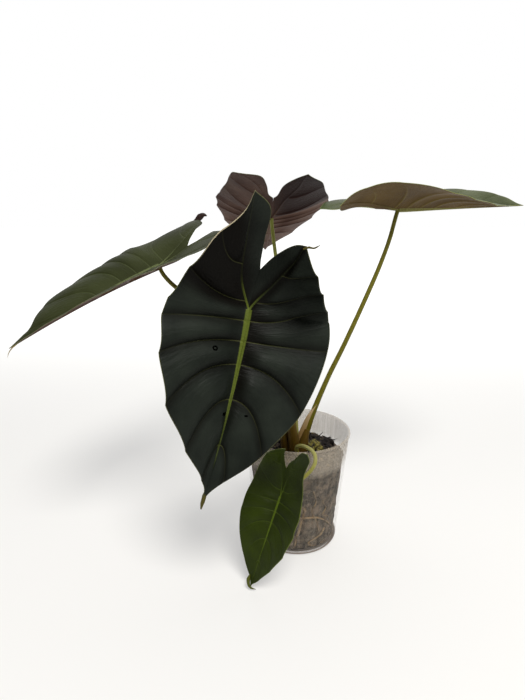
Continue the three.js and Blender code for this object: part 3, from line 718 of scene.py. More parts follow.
# route points up from the crown and the radius at base, middle and top, in mm
PETIOLES = {
    "right": (
        [
            (6.5, -0.5, PETIOLE_START), (8.3, -0.3, 109), (12.3, 0, 126), (17.4, 0, 143),
            (30.9, -1, 180), (43.7, -3, 210.6), (61.2, -6, 256), (73.3, -10, 291), (80, -13, 315),
            (83.6, -15, 334),
        ],
        (4.3, 2.5, 1.8),
    ),
    "left": (
        [
            (-9.5, 0, PETIOLE_START), (-11.5, -0.5, 115), (-20, -2, 150), (-45, -7, 195),
            (-80, -12, 239), (-106, -16, 264), (-116.5, -17, 272.5), (-123, -17.5, 279),
            (-128, -18, 286),
        ],
        (4.8, 2.7, 1.9),
    ),
    "front": (
        [
            (-1.6, -6, PETIOLE_START), (-3, -8.5, 115), (-8, -18, 155), (-20, -42, 200),
            (-33, -68, 236), (-42, -86, 257),
        ],
        (4.2, 2.7, 2.0),
    ),
    "back": (
        [
            (0.5, 6.5, PETIOLE_START), (-0.5, 9, 115), (-5, 18, 165), (-12, 33, 220),
            (-18.5, 49, 270), (-23.5, 58, 305), (-26, 60, 326),
        ],
        (4.2, 2.3, 1.8),
    ),
    "small": (
        [
            (3.5, -12.5, PETIOLE_START), (-0.5, -16, 102), (-1.4, -22, 111), (1.6, -35, 119.5),
            (6, -50, 125.4), (10, -60, 127), (12.3, -67.5, 125.5), (12, -72, 121), (9, -74, 115.5),
            (2.5, -74.5, 108), (-7, -74.5, 99.5), (-15, -76, 92.5),
        ],
        (2.3, 1.9, 1.6),
    ),
}
# where each blade's foot sits on its stalk
FEET = {
    "front": (-46.6, -97.4, 267.8), "small": (-19.4, -81, 91.9), "back": (-26.5, 59, 332.8),
    "left": (-130.4, -17.2, 291.8), "right": (85.7, -14.4, 342.2),
}
# heights in metres of the foot's tone and the top's
SKIN_HEIGHTS = (0.095, 0.34)


def petiole_skin(name, foot, middle, top):
    """Smooth stalk skin in three tones up its height, with fine length-ways streaks."""
    material, tree, shader = new_material(
        name, Roughness=0.5, Subsurface_Weight=0.12, Specular_IOR_Level=0.15
    )
    shader.inputs["Subsurface Radius"].default_value = (0.004, 0.005, 0.001)
    shader.inputs["Subsurface Scale"].default_value = 0.5
    spot = add_node(tree, "ShaderNodeTexCoord").outputs["Object"]
    parts = add_node(tree, "ShaderNodeSeparateXYZ", links={0: spot})
    height = add_node(
        tree, "ShaderNodeMapRange",
        inputs={"From Min": SKIN_HEIGHTS[0], "From Max": SKIN_HEIGHTS[1]},
        links={"Value": parts.outputs["Z"]},
    )
    ramp = add_node(tree, "ShaderNodeValToRGB", links={"Fac": height.outputs[0]})
    ramp.color_ramp.elements[0].color = colour(foot)
    ramp.color_ramp.elements[1].color = colour(top)
    ramp.color_ramp.elements.new(0.16).color = colour(middle)
    stretch = add_node(
        tree, "ShaderNodeMapping", inputs={"Scale": (1400, 1400, 60)}, links={"Vector": spot}
    )
    streak = add_node(
        tree, "ShaderNodeTexNoise", inputs={"Scale": 1.0, "Detail": 3.0},
        links={"Vector": stretch.outputs[0]},
    )
    shade = add_node(
        tree, "ShaderNodeMapRange",
        inputs={"From Min": 0.3, "From Max": 0.7, "To Min": 0.78, "To Max": 1.15},
        links={"Value": streak.outputs["Fac"]},
    )
    tinted = add_node(
        tree, "ShaderNodeVectorMath", operation="SCALE",
        links={0: ramp.outputs["Color"], "Scale": shade.outputs[0]},
    )
    tree.links.new(tinted.outputs[0], shader.inputs["Base Color"])
    relief = add_node(
        tree, "ShaderNodeBump", inputs={"Strength": 0.3, "Distance": 0.0003},
        links={"Height": streak.outputs["Fac"]},
    )
    tree.links.new(relief.outputs["Normal"], shader.inputs["Normal"])
    return material


# Living stalk skin: satin, with the light glowing a little way into it
stalk_olive = petiole_skin("petiole_skin_olive", "46340a", "5f5a0e", "77722a")
stalk_green = petiole_skin("petiole_skin_green", "837e2a", "99985a", "949a4a")
stalk_brown = petiole_skin("petiole_skin_brown_foot", "4b3208", "66591a", "7c7a34")
PETIOLE_SKIN = {
    "right": stalk_olive, "left": stalk_brown, "front": stalk_brown, "back": stalk_green,
    "small": stalk_green,
}
STALK_POINTS = 110
PETIOLE_SIDES = 20
for name, (route, (base, middle, top)) in PETIOLES.items():
    line = smooth_path(route + [FEET[name]], STALK_POINTS)
    along = np.linspace(0, 1, len(line))
    girth = np.interp(along, [0, 0.12, 0.35, 1], [base, mix(base, middle, 0.45), middle, top])
    piece = rods(
        f"petiole_{name}_stalk", [(line, girth)], PETIOLE_SKIN[name], PETIOLE_SIDES,
        lumpiness=0.0003, lump_scale=60.0,
    )
    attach(piece, "root")
    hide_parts(f"petiole_{name}")


# Sheaths
# Old leaf sheaths clasp the petioles' feet in a brown fan, and the right petiole keeps a
# thin cream wing of its own sheath. The fan is swept, the wing lofted between two lines.
SHEATH_SIDES = 24

# Old sheath skin: dull brown, paler towards its top
sheath_brown = petiole_skin("sheath_brown", "3a2906", "5f4a12", "6b5a1e")
SLEEVES = [
    ([(-9, -1, 91), (-10.5, -1, 104), (-13, -1.5, 117), (-17, -2, 131)], (7.2, 5.6, 3.2)),
    ([(-2, -6.5, 91), (-2.8, -8, 104), (-4.6, -11, 120), (-7, -16, 140)], (6.6, 5.4, 3.0)),
    ([(4.5, -3.5, 91), (5.6, -4, 100), (8, -3.5, 112), (10.5, -2.5, 122)], (6.6, 5.2, 2.6)),
    ([(-4.5, 4, 91), (-5, 5, 104), (-8, 6, 118)], (6.6, 5.0, 2.4)),
]


def tapered(route, girth, count=40):
    """A smooth line through a route, with the radius drawn evenly between the given ones."""
    places = np.linspace(0, 1, len(girth))
    return smooth_path(route, count), np.interp(np.linspace(0, 1, count), places, girth)


sleeves = [tapered(route, girth) for route, girth in SLEEVES]
piece = rods(
    "crown_sheaths", sleeves, sheath_brown, SHEATH_SIDES, lumpiness=0.0008, lump_scale=90.0
)
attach(piece, "root")

# Sheath wing: cream and a little pink, papery, greener where it leaves the stalk
wing_cream, tree, shader = new_material(
    "sheath_papery_cream", Roughness=0.6, Specular_IOR_Level=0.2, Subsurface_Weight=0.2
)
shader.inputs["Subsurface Radius"].default_value = (0.004, 0.003, 0.002)
spot = add_node(tree, "ShaderNodeTexCoord").outputs["Object"]
rise = add_node(tree, "ShaderNodeSeparateXYZ", links={0: spot})
level = add_node(
    tree, "ShaderNodeMapRange", inputs={"From Min": 0.1, "From Max": 0.15},
    links={"Value": rise.outputs["Z"]},
)
ramp = add_node(tree, "ShaderNodeValToRGB", links={"Fac": level.outputs[0]})
ramp.color_ramp.elements[0].color = colour("6b4f22")
ramp.color_ramp.elements[1].color = colour("b9a37f")
ramp.color_ramp.elements.new(0.35).color = colour("8d7247")
tree.links.new(ramp.outputs["Color"], shader.inputs["Base Color"])

stalk = smooth_path(PETIOLES["right"][0] + [FEET["right"]], STALK_POINTS)
WING_FOOT = 96
WING_TOP = 150
WING_WIDTH = 8.2
WING_HOLLOW = 1.6
WING_THICKNESS = 0.9
WING_ROWS = 36
WING_STEPS = 8
heights = np.linspace(WING_FOOT, WING_TOP, WING_ROWS)
body = bmesh.new()
sheets = []
for offset in (WING_THICKNESS / 2, -WING_THICKNESS / 2):
    sheet = []
    for z in heights:
        x, y = [np.interp(z, stalk[:, 2], stalk[:, k]) for k in (0, 1)]
        share = (z - WING_FOOT) / (WING_TOP - WING_FOOT)
        wide = WING_WIDTH * (1 - share**3.2) + 0.2
        row = []
        for step in np.linspace(0, 1, WING_STEPS):
            hollow = WING_HOLLOW * math.sin(math.pi * step)
            place = (x - wide * step, y - 1 - hollow + offset, z)
            row.append(body.verts.new([c * MM for c in place]))
        sheet.append(row)
    sheets.append(sheet)
for k in range(WING_ROWS - 1):
    for j in range(WING_STEPS - 1):
        for sheet in sheets:
            body.faces.new((sheet[k][j], sheet[k][j + 1], sheet[k + 1][j + 1], sheet[k + 1][j]))
rim = [(k, 0) for k in range(WING_ROWS)] + [(WING_ROWS - 1, j) for j in range(1, WING_STEPS)]
rim += [(k, WING_STEPS - 1) for k in range(WING_ROWS - 2, -1, -1)]
rim += [(0, j) for j in range(WING_STEPS - 2, 0, -1)]
for (k, j), (m, n) in zip(rim, rim[1:] + rim[:1]):
    body.faces.new((sheets[0][k][j], sheets[0][m][n], sheets[1][m][n], sheets[1][k][j]))
piece = place_body("sheath_wing", body, wing_cream)
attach(piece, "root")
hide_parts("petiole_right")


# Blades
# Five thin arrow-shaped leaf blades, dark satin green and quilted between impressed side
# veins, with a raised pale midrib and a rib to each lobe. The underside is paler or purple
# brown with the ribs standing out, and a pale line runs round the margin.

# One half of a blade lies flat in u, along the midrib from its foot in midrib lengths, and
# w, out from the midrib in half widths. Margin places run from the lobe's tip at -1 to the
# blade's tip at 1, and each half of each leaf has its own w there.
MARGIN_PLACES = (-1, -0.8, -0.6, -0.4, -0.2, 0, 0.15, 0.3, 0.45, 0.6, 0.72, 0.84, 0.93, 1)
MARGIN_ALONG = (-0.66, -0.58, -0.45, -0.29, -0.11, 0.08, 0.27, 0.46, 0.61, 0.74, 0.83, 0.9, 0.95, 1)
NOTCH_PLACES = (0, 0.25, 0.5, 0.75, 1)
NOTCH_ALONG = (-0.22, -0.33, -0.46, -0.59, -0.66)
RIB_PLACES = (0, 0.35, 0.7, 1)
RIB_ALONG = (0, -0.2, -0.45, -0.66)
# margin places where the side veins end. Stations count the veins from the lobe's tip, and
# the blade's foot lies at station JUNCTION, from where the veins start along the midrib
VEINS = (-1, -0.66, -0.36, 0, 0.13, 0.31, 0.54, 0.77, 1)
JUNCTION = 2.3333
FOOT_STATIONS = (JUNCTION, 3, 4, 5, 6, 7, 8)
VEIN_FEET = (0, 0.055, 0.155, 0.27, 0.445, 0.68, 1)
SINUS = 0.22
LOBE_END = 0.66
VEIN_SWEEP = 2.4
COSTA_GATHER = 1.25
BLADE_THICKNESS = 0.8
BLADE_RIDGE = 3.0
CREST_SHIFT = 1.5
BEND_STEPS = 24
HEEL_SHARE = 0.12
EDGE_TAPER = 4
EDGE_THINNING = 0.45
GROOVE_DEPTH = 0.45
GROOVE_WIDTH = 0.9
RIDGE_WIDTH = 0.8


HALF_KEYS = (
    "fold", "tip_fold", "lobe_fold", "curl", "bend", "splay", "lobe_tip", "margin", "notch", "rib",
    "veins", "calm",
)


def half(*measures):
    """Measures of one half: folds and curl in degrees, and its outline in half widths."""
    return {"veins": VEINS, "calm": 3, **dict(zip(HALF_KEYS, measures))}


LEAVES = {
    "front": {
        "foot": FEET["front"], "tip": (-0.174, -0.17, -0.97), "face": (0.27, -0.955, 0.119),
        "length": 164, "width": 70, "lobe": 0.796, "sinus": -0.27,
        "droop": 3.9, "heel": 30.6, "lift": 33.9, "sweep": 6.7, "twist": -5.5,
        "quilt": 5.8, "corner": 0.012, "midrib": 1.7,
        1: half(
            8.2, 34, 17.7, 0, -0.168, -0.011, -0.66,
            (0.34, 0.4, 0.62, 0.75, 0.86, 0.97, 0.95, 0.83, 0.62, 0.38, 0.19, 0.065, 0.03, 0),
            (0, 0.03, 0.07, 0.11), (0, 0.18, 0.27),
        ),
        -1: half(
            5.6, 36.5, 48.6, 0, 0.007, 0.042, -0.66,
            (0.22, 0.46, 0.63, 0.75, 0.87, 0.98, 0.94, 0.82, 0.63, 0.43, 0.24, 0.1, 0.03, 0),
            (0, 0.03, 0.09, 0.15), (0, 0.19, 0.27),
            (-1, -0.72, -0.46, -0.2, 0.05, 0.3, 0.54, 0.77, 1), 4,
        ),
    },
    "small": {
        "foot": FEET["small"], "tip": (-0.322, -0.245, -0.914), "face": (-0.382, -0.85, 0.362),
        "length": 94.8, "width": 31.2, "lobe": 1.258, "sinus": -0.26,
        "droop": 15.3, "heel": 18.2, "lift": 51.8, "sweep": 3.6, "twist": 4.9,
        "quilt": 1.3, "corner": 0.01, "midrib": 1.0,
        1: half(
            14.7, 6.7, 20.6, 3.2, 0.026, -0.107, -0.67,
            (0.24, 0.47, 0.62, 0.75, 0.89, 0.98, 0.97, 0.83, 0.62, 0.4, 0.22, 0.085, 0.03, 0),
            (0, 0.06, 0.11, 0.12), (0, 0.09, 0.19),
        ),
        -1: half(
            18.6, 11.6, 21.5, 21.2, -0.005, 0.21, -0.64,
            (0.21, 0.47, 0.62, 0.76, 0.9, 0.99, 0.98, 0.84, 0.64, 0.43, 0.27, 0.15, 0.04, 0),
            (0, 0.05, 0.17, 0.12), (0, 0.09, 0.19),
        ),
    },
    "back": {
        "foot": FEET["back"], "tip": (-0.024, 0.939, -0.343), "face": (0.027, 0.344, 0.939),
        "length": 130, "width": 65.4, "lobe": 1.2, "sinus": -0.277,
        "droop": 0.5, "heel": 11.8, "lift": -9.7, "sweep": -2.5, "twist": -6.3,
        "quilt": 2.0, "corner": 0.02, "midrib": 0.8,
        1: half(
            4.2, 12.1, -12.8, 29.8, -0.026, 0.094, -0.687,
            (0.2, 0.49, 0.64, 0.78, 0.91, 0.99, 0.97, 0.83, 0.63, 0.39, 0.19, 0.06, 0.03, 0),
            (0, 0.05, 0.07, 0.14), (0, 0.12, 0.26),
        ),
        -1: half(
            7.5, 6.6, -9.6, 30.1, -0.032, 0.094, -0.61,
            (0.32, 0.46, 0.6, 0.73, 0.87, 0.97, 0.96, 0.83, 0.63, 0.4, 0.22, 0.085, 0.03, 0),
            (0, 0.065, 0.06, 0.08), (0, 0.09, 0.19),
        ),
    },
    "left": {
        "foot": FEET["left"], "tip": (-0.714, -0.64, -0.285), "face": (-0.203, -0.201, 0.958),
        "length": 143, "width": 64.4, "lobe": 0.995, "sinus": -0.25,
        "droop": 17.3, "heel": 24.9, "lift": -21.2, "sweep": 23.6, "twist": 3.3,
        "quilt": 1.6, "corner": 0.012, "midrib": 1.2,
        1: half(
            40.3, 22, 14.6, -67.4, -0.059, 0.294, -0.697,
            (0.29, 0.45, 0.61, 0.75, 0.89, 1, 1, 0.84, 0.61, 0.35, 0.14, 0.07, 0.03, 0),
            (0, 0.08, 0.14, 0.12), (0, 0.09, 0.19),
        ),
        -1: half(
            14.3, 19.5, 3.7, 2.2, -0.123, -0.282, -0.63,
            (0.23, 0.47, 0.62, 0.75, 0.89, 0.99, 0.97, 0.83, 0.63, 0.41, 0.23, 0.1, 0.03, 0),
            (0, 0.11, 0.15, 0.12), (0, 0.09, 0.19),
        ),
    },
    "right": {
        "foot": FEET["right"], "tip": (0.879, 0.476, 0.009), "face": (0.023, -0.061, 0.998),
        "length": 153, "width": 53.7, "lobe": 0.774, "sinus": -0.22,
        "droop": -1.4, "heel": 5.2, "lift": -3.6, "sweep": 10.1, "twist": 20.3,
        "quilt": 1.5, "corner": 0.012, "midrib": 0.8,
        1: half(
            40, 21.6, 49, -37.2, -0.068, 0.056, -0.652,
            (0.28, 0.47, 0.61, 0.76, 0.92, 1, 0.97, 0.82, 0.62, 0.39, 0.19, 0.06, 0.03, 0),
            (0, 0.05, 0.08, 0.12), (0, 0.09, 0.19),
        ),
        -1: half(
            22.7, 30.8, 33.1, -46.7, -0.039, -0.055, -0.678,
            (0.3, 0.45, 0.61, 0.75, 0.9, 0.99, 0.97, 0.83, 0.64, 0.46, 0.33, 0.2, 0.06, 0),
            (0, 0.05, 0.08, 0.12), (0, 0.09, 0.19),
        ),
    },
}


def curve_through(places, values, x):
    """Smooth curve through a few values given at rising places."""
    knots, values = np.array(places, float), np.array(values, float)
    last = len(knots) - 1
    before = np.maximum(np.arange(last + 1) - 1, 0)
    after = np.minimum(np.arange(last + 1) + 1, last)
    slope = (values[after] - values[before]) / (knots[after] - knots[before])
    x = np.asarray(x, float)
    i = np.clip(np.searchsorted(knots, x, side="right") - 1, 0, last - 1)
    h = knots[i + 1] - knots[i]
    t = (x - knots[i]) / h
    return (
        (2 * t**3 - 3 * t**2 + 1) * values[i]
        + (t**3 - 2 * t**2 + t) * h * slope[i]
        + (3 * t**2 - 2 * t**3) * values[i + 1]
        + (t**3 - t**2) * h * slope[i + 1]
    )


def smooth_step(t):
    x = np.clip(t, 0, 1)
    return x * x * (3 - 2 * x)


def blade_point(leaf, u, w, side):
    """Points of a blade's middle surface, in mm, for flat places u and w on one half."""
    part = leaf[side]
    reach = np.where(u < 0, u * leaf["lobe"], u)
    run = reach * leaf["length"]
    lobe_length = LOBE_END * leaf["lobe"] * leaf["length"]
    heel_length = HEEL_SHARE * leaf["length"]
    droop, heel, lift = [math.radians(leaf[k]) for k in ("droop", "heel", "lift")]

    def rise(x):
        back = np.minimum(x, 0)
        behind = -heel * (1 - np.exp(back / heel_length)) + lift / lobe_length * back
        return np.where(x >= 0, -droop / leaf["length"] * x, behind)

    ahead = np.zeros_like(run)
    up = np.zeros_like(run)
    for i in range(BEND_STEPS):
        angle = rise(run / BEND_STEPS * (i + 0.5))
        ahead += np.cos(angle) * run / BEND_STEPS
        up += np.sin(angle) * run / BEND_STEPS
    slope = rise(run)
    aside = np.where(run > 0, math.radians(leaf["sweep"]) / leaf["length"] * run * run / 2, 0)
    turn = math.radians(leaf["twist"]) * np.clip(reach, -1, 1)
    fold = np.radians(
        part["fold"]
        + (part["tip_fold"] - part["fold"]) * np.clip(reach, 0, 1)
        + (part["lobe_fold"] - part["fold"]) * np.clip(-u / LOBE_END, 0, 1)
    )
    across = w * leaf["width"]
    bend = math.radians(part["curl"]) / leaf["width"] or 1e-6
    flat_x = np.sin(bend * across) / bend
    flat_z = (1 - np.cos(bend * across)) / bend
    x = side * (flat_x * np.cos(fold) - flat_z * np.sin(fold))
    z = flat_x * np.sin(fold) + flat_z * np.cos(fold)
    lobe_share = (np.clip(-u - SINUS, 0, 1) / (LOBE_END - SINUS)) ** 2
    normal_a, normal_n = -np.sin(slope), np.cos(slope)
    lobe_bend = part["bend"] * leaf["length"] * lobe_share
    local_t = ahead - normal_a * np.sin(turn) * x + normal_a * np.cos(turn) * z + normal_a * lobe_bend
    local_b = aside + np.cos(turn) * x + np.sin(turn) * z
    local_b = local_b + side * part["splay"] * leaf["length"] * lobe_share
    local_n = up - normal_n * np.sin(turn) * x + normal_n * np.cos(turn) * z + normal_n * lobe_bend
    tip = np.array(leaf["tip"]) / np.linalg.norm(leaf["tip"])
    face = np.array(leaf["face"]) - tip * (np.array(leaf["face"]) @ tip)
    face = face / np.linalg.norm(face)
    right = np.cross(tip, face)
    place = local_t[..., None] * tip + local_b[..., None] * right + local_n[..., None] * face
    return np.array(leaf["foot"]) + place


def blade_normal(leaf, u, w, side):
    """Unit normals of the upper side at the same places."""
    e = 1e-3

    def one_side(s):
        along = blade_point(leaf, u + e, w, s) - blade_point(leaf, u - e, w, s)
        out = blade_point(leaf, u, w + e, s) - blade_point(leaf, u, w, s)
        n = np.cross(out, along) * s
        return n / np.linalg.norm(n, axis=-1, keepdims=True)

    here = one_side(side)
    there = one_side(-side)
    share = np.where(w < e, 0.5, 0.0)[..., None]
    n = here * (1 - share) + there * share
    return n / np.linalg.norm(n, axis=-1, keepdims=True)


def pillow(stations, veins, calm):
    """Height of the pillows between side veins, which are flatter before the station calm."""
    i = np.clip(np.floor(stations).astype(int), 0, len(veins) - 2)
    across = np.diff(np.array(veins))[i]
    t = (stations - i) ** CREST_SHIFT
    return 4 * t * (1 - t) * (0.35 + 4 * across) * np.where(stations < calm, 0.45, 1.0)


ROWS_PER_VEIN = 16
COLUMNS = np.concatenate(
    [[0, 0.006, 0.013, 0.022, 0.034, 0.052, 0.078], np.linspace(0.11, 0.975, 18), [1]]
)
NOTCH_COLUMNS = np.concatenate([[0, 0.06, 0.14, 0.24], np.linspace(0.36, 0.95, 7), [1]])


def row_stations():
    """Stations of the rows of points, closer together near the side veins."""
    share = np.linspace(0, 1, ROWS_PER_VEIN + 1)[:-1]
    share = share - 0.7 * np.sin(2 * math.pi * share) / (2 * math.pi)
    rows = [i + share for i in range(len(VEINS) - 1)]
    rows = np.concatenate(rows + [[len(VEINS) - 1.0], [JUNCTION]])
    return np.unique(np.round(rows, 6))


def blade_mesh(name, leaf, materials):
    """Both faces of a blade and its rim, with how far each point is from veins and margin."""
    stations = row_stations()
    points, faces, kinds = [], [], []
    marks = {"vein": [], "rib": [], "edge": [], "course": [], "out": []}

    def add_grid(upper, lower, values, flip):
        count, width = upper.shape[:2]
        start = sum(len(p) for p in points)
        points.append(upper.reshape(-1, 3))
        points.append(lower.reshape(-1, 3))
        for key, value in values.items():
            marks[key].append(np.concatenate([value.reshape(-1), value.reshape(-1)]))
        top = start + np.arange(count * width).reshape(count, width)
        low = top + count * width
        for grid, turn_over, kind in ((top, flip, 0), (low, not flip, 1)):
            a, b = grid[:-1, :-1], grid[:-1, 1:]
            c, d = grid[1:, 1:], grid[1:, :-1]
            order = (a, d, c, b) if turn_over else (a, b, c, d)
            faces.append(np.stack([g.reshape(-1) for g in order], axis=1))
            kinds.append(np.full(faces[-1].shape[0], kind))
        edge_top, edge_low = top[:, -1], low[:, -1]
        order = (edge_top[:-1], edge_top[1:], edge_low[1:], edge_low[:-1])
        if not flip:
            order = order[::-1]
        faces.append(np.stack(order, axis=1))
        kinds.append(np.full(len(edge_top) - 1, 0))

    def rib_relief(distance, taper):
        """How far the midrib or a lobe's rib stands above and below the blade."""
        width = (0.45 + 1.7 * taper) * size
        above = (0.1 + leaf["midrib"] * taper) * size * np.exp(-((distance / width) ** 2))
        below = (0.25 + BLADE_RIDGE * taper) * size * np.exp(-((distance / (0.9 * width)) ** 2))
        return above, below

    def lay(u, w, side):
        """A grid's points and normals, and how far each is from its first and last column."""
        middle = blade_point(leaf, u, w, side)
        from_rib = np.linalg.norm(middle - middle[:, :1], axis=-1)
        from_edge = np.linalg.norm(middle - middle[:, -1:], axis=-1)
        return middle, blade_normal(leaf, u, w, side), from_rib, from_edge

    def half_thickness(from_edge):
        return BLADE_THICKNESS / 2 * mix(EDGE_THINNING, 1.0, smooth_step(from_edge / EDGE_TAPER))

    size = leaf["width"] / 70
    for side in (1, -1):
        part = leaf[side]
        rows = np.interp(stations, range(len(VEINS)), part["veins"])
        tip = part["margin"][0]
        margin_along = (part["lobe_tip"],) + MARGIN_ALONG[1:]
        notch_along = (leaf["sinus"],) + NOTCH_ALONG[1:-1] + (part["lobe_tip"],)
        rib_along = RIB_ALONG[:-1] + (part["lobe_tip"],)
        on_lobe = stations < JUNCTION
        gather = np.maximum(1 - stations / JUNCTION, 0) ** COSTA_GATHER
        rib_u = curve_through(RIB_PLACES, rib_along, gather)
        rib_w = curve_through(RIB_PLACES, part["rib"] + (tip,), gather)
        foot_u = np.where(on_lobe, rib_u, curve_through(FOOT_STATIONS, VEIN_FEET, stations))
        foot_w = np.where(on_lobe, rib_w, 0)
        edge_u = curve_through(MARGIN_PLACES, margin_along, rows)
        edge_w = curve_through(MARGIN_PLACES, part["margin"], rows)
        swelling = pillow(stations, part["veins"], part["calm"])
        edge_w = edge_w * (1 + leaf["corner"] * (0.5 - swelling) * (1 - np.abs(rows) ** 3))
        b = COLUMNS[None, :]
        u = mix(foot_u[:, None], edge_u[:, None], b**VEIN_SWEEP)
        w = mix(foot_w[:, None], edge_w[:, None], b)
        middle, normal, rib_distance, edge_distance = lay(u, w, side)
        swell = smooth_step(b / 0.3) * (1 - 0.35 * b * b)
        lift = leaf["quilt"] * np.sqrt(np.maximum(edge_w, 0))[:, None] * swelling[:, None] * swell
        vein_distance = np.full(u.shape, 1e3)
        for station in range(1, len(VEINS) - 1):
            on_vein = middle[np.argmin(np.abs(stations - station))]
            vein_distance = np.minimum(vein_distance, np.linalg.norm(middle - on_vein[None], axis=-1))
        taper = np.where(on_lobe, 0.6 * (1 - gather), 1 - np.clip(rows, 0, 1))[:, None]
        rib_reach = size * np.where(on_lobe[:, None], 0.45 * taper + 0.2, mix(0.22, 1, taper))
        rib_up, rib_under = rib_relief(rib_distance, taper)
        fade = smooth_step((1 - b) / 0.25)
        groove = GROOVE_DEPTH * size * np.exp(-((vein_distance / GROOVE_WIDTH) ** 2)) * fade
        groove = groove * smooth_step(b / 0.03)
        ridge = (0.3 + 0.9 * (1 - b)) * size * np.exp(-((vein_distance / RIDGE_WIDTH) ** 2)) * fade
        ridge = ridge * smooth_step(rib_distance / 4)
        thick = half_thickness(edge_distance)
        upper = middle + normal * (lift + thick + rib_up - groove)[..., None]
        lower = middle + normal * (lift - thick - rib_under - ridge)[..., None]
        values = {
            "vein": vein_distance, "rib": rib_distance / rib_reach, "edge": edge_distance,
            "course": rows[:, None] + 0 * b, "out": side * b + 0 * rows[:, None],
        }
        add_grid(upper, lower, values, side < 0)

        back = stations <= JUNCTION + 1e-4
        t = gather[back]
        notch_u = curve_through(NOTCH_PLACES, notch_along, t)
        notch_w = curve_through(NOTCH_PLACES, part["notch"] + (tip,), t)
        c = NOTCH_COLUMNS[None, :]
        u = mix(foot_u[back][:, None], notch_u[:, None], c)
        w = mix(foot_w[back][:, None], notch_w[:, None], c)
        middle, normal, rib_distance, edge_distance = lay(u, w, side)
        edge_distance = np.where(t[:, None] < 1e-6, 6.0, edge_distance)
        taper = 0.6 * (1 - t)[:, None]
        rib_up, rib_under = rib_relief(rib_distance, taper)
        thick = half_thickness(edge_distance)
        upper = middle + normal * (thick + rib_up)[..., None]
        lower = middle - normal * (thick + rib_under)[..., None]
        values = {
            "vein": np.full(u.shape, 9.0), "rib": rib_distance / size / (0.45 * taper + 0.2),
            "edge": edge_distance,
            "course": (rows[back][-1] * (1 - t) - t)[:, None] + 0 * c, "out": side * c + 0 * t[:, None],
        }
        add_grid(upper, lower, values, side > 0)

    mesh = bpy.data.meshes.new(name)
    mesh.from_pydata((np.concatenate(points) * MM).tolist(), [], np.concatenate(faces).tolist())
    for key, value in marks.items():
        layer = mesh.attributes.new(key, "FLOAT", "POINT")
        layer.data.foreach_set("value", np.concatenate(value).astype(np.float32))
    mesh.polygons.foreach_set("material_index", np.concatenate(kinds).astype(np.int32))
    body = bmesh.new()
    body.from_mesh(mesh)
    bmesh.ops.remove_doubles(body, verts=body.verts, dist=0.00002)
    bmesh.ops.dissolve_degenerate(body, edges=body.edges, dist=1e-7)
    body.to_mesh(mesh)
    body.free()
    return place_mesh(name, mesh, *materials)


def blade_skin(name, tones, rough, gloss, vein_width=0.45, below=(), above=()):
    """
    Leaf skin in a dark and a light mottling tone, with vein, rib and margin in their own.
    Each layer is a tint and the terms whose product is its share: a reading, the two values
    that it eases between and the share at either. Others lie below or above these three.
    """
    dark, light, vein, rib, margin = tones
    material, tree, shader = new_material(name, Roughness=rough, IOR=1.42, Specular_IOR_Level=gloss)
    spot = add_node(tree, "ShaderNodeTexCoord").outputs["Object"]
    reads = {
        key: add_node(tree, "ShaderNodeAttribute", attribute_name=key).outputs["Fac"]
        for key in ("vein", "rib", "edge", "course", "out")
    }
    reads["x"] = add_node(tree, "ShaderNodeSeparateXYZ", links={0: spot}).outputs["X"]
    reads["reach"] = add_node(
        tree, "ShaderNodeMath", operation="ABSOLUTE", links={0: reads["out"]}
    ).outputs[0]
    mottle = add_node(
        tree, "ShaderNodeTexNoise", inputs={"Scale": 28.0, "Detail": 4.0}, links={"Vector": spot}
    )
    ramp = add_node(tree, "ShaderNodeValToRGB", links={"Fac": mottle.outputs["Fac"]})
    for stop, position, tone in zip(ramp.color_ramp.elements, (0.35, 0.68), (dark, light)):
        stop.position = position
        stop.color = colour(tone)
    skin = ramp.outputs["Color"]
    # a side vein fades towards the margin, and the ribs towards the lobe's and the blade's tips
    layers = list(below) + [
        (vein, [("vein", 0.12, 1.5 * vein_width, 1, 0), ("reach", 0.15, 0.95, 0.75, 0.12)]),
        (
            rib,
            [("rib", 2.1, 3.2, 1, 0), ("course", -0.62, -0.25, 0.06, 1), ("course", 0.45, 0.8, 1, 0.4)],
        ),
        (margin, [("edge", 0.1, 0.7, 1, 0)]),
    ] + list(above)
    for tint, terms in layers:
        shares = [
            add_node(
                tree, "ShaderNodeMapRange", interpolation_type="SMOOTHSTEP",
                inputs={"From Min": low, "From Max": high, "To Min": at_low, "To Max": at_high},
                links={"Value": reads[key]},
            ).outputs[0]
            for key, low, high, at_low, at_high in terms
        ]
        share = shares[0]
        for other in shares[1:]:
            share = add_node(
                tree, "ShaderNodeMath", operation="MULTIPLY", links={0: share, 1: other}
            ).outputs[0]
        blend = add_node(tree, "ShaderNodeMix", data_type="RGBA", links={"Factor": share, 6: skin})
        blend.inputs[7].default_value = colour(tint)
        skin = blend.outputs[2]
    tree.links.new(skin, shader.inputs["Base Color"])
    # fine veinlets run alongside the side veins, about 1.5 mm apart
    scaled = [
        add_node(
            tree, "ShaderNodeMath", operation="MULTIPLY", inputs={1: scale}, links={0: reads[key]}
        ).outputs[0]
        for key, scale in (("course", 60.0), ("rib", 0.06))
    ]
    lines = add_node(tree, "ShaderNodeCombineXYZ", links={"X": scaled[0], "Y": scaled[1]})
    veinlets = add_node(
        tree, "ShaderNodeTexNoise", inputs={"Scale": 1.0, "Detail": 3.0},
        links={"Vector": lines.outputs[0]},
    )
    bump = add_node(
        tree, "ShaderNodeBump", inputs={"Strength": 0.6, "Distance": 0.001},
        links={"Height": veinlets.outputs["Fac"]},
    )
    tree.links.new(bump.outputs["Normal"], shader.inputs["Normal"])
    return material


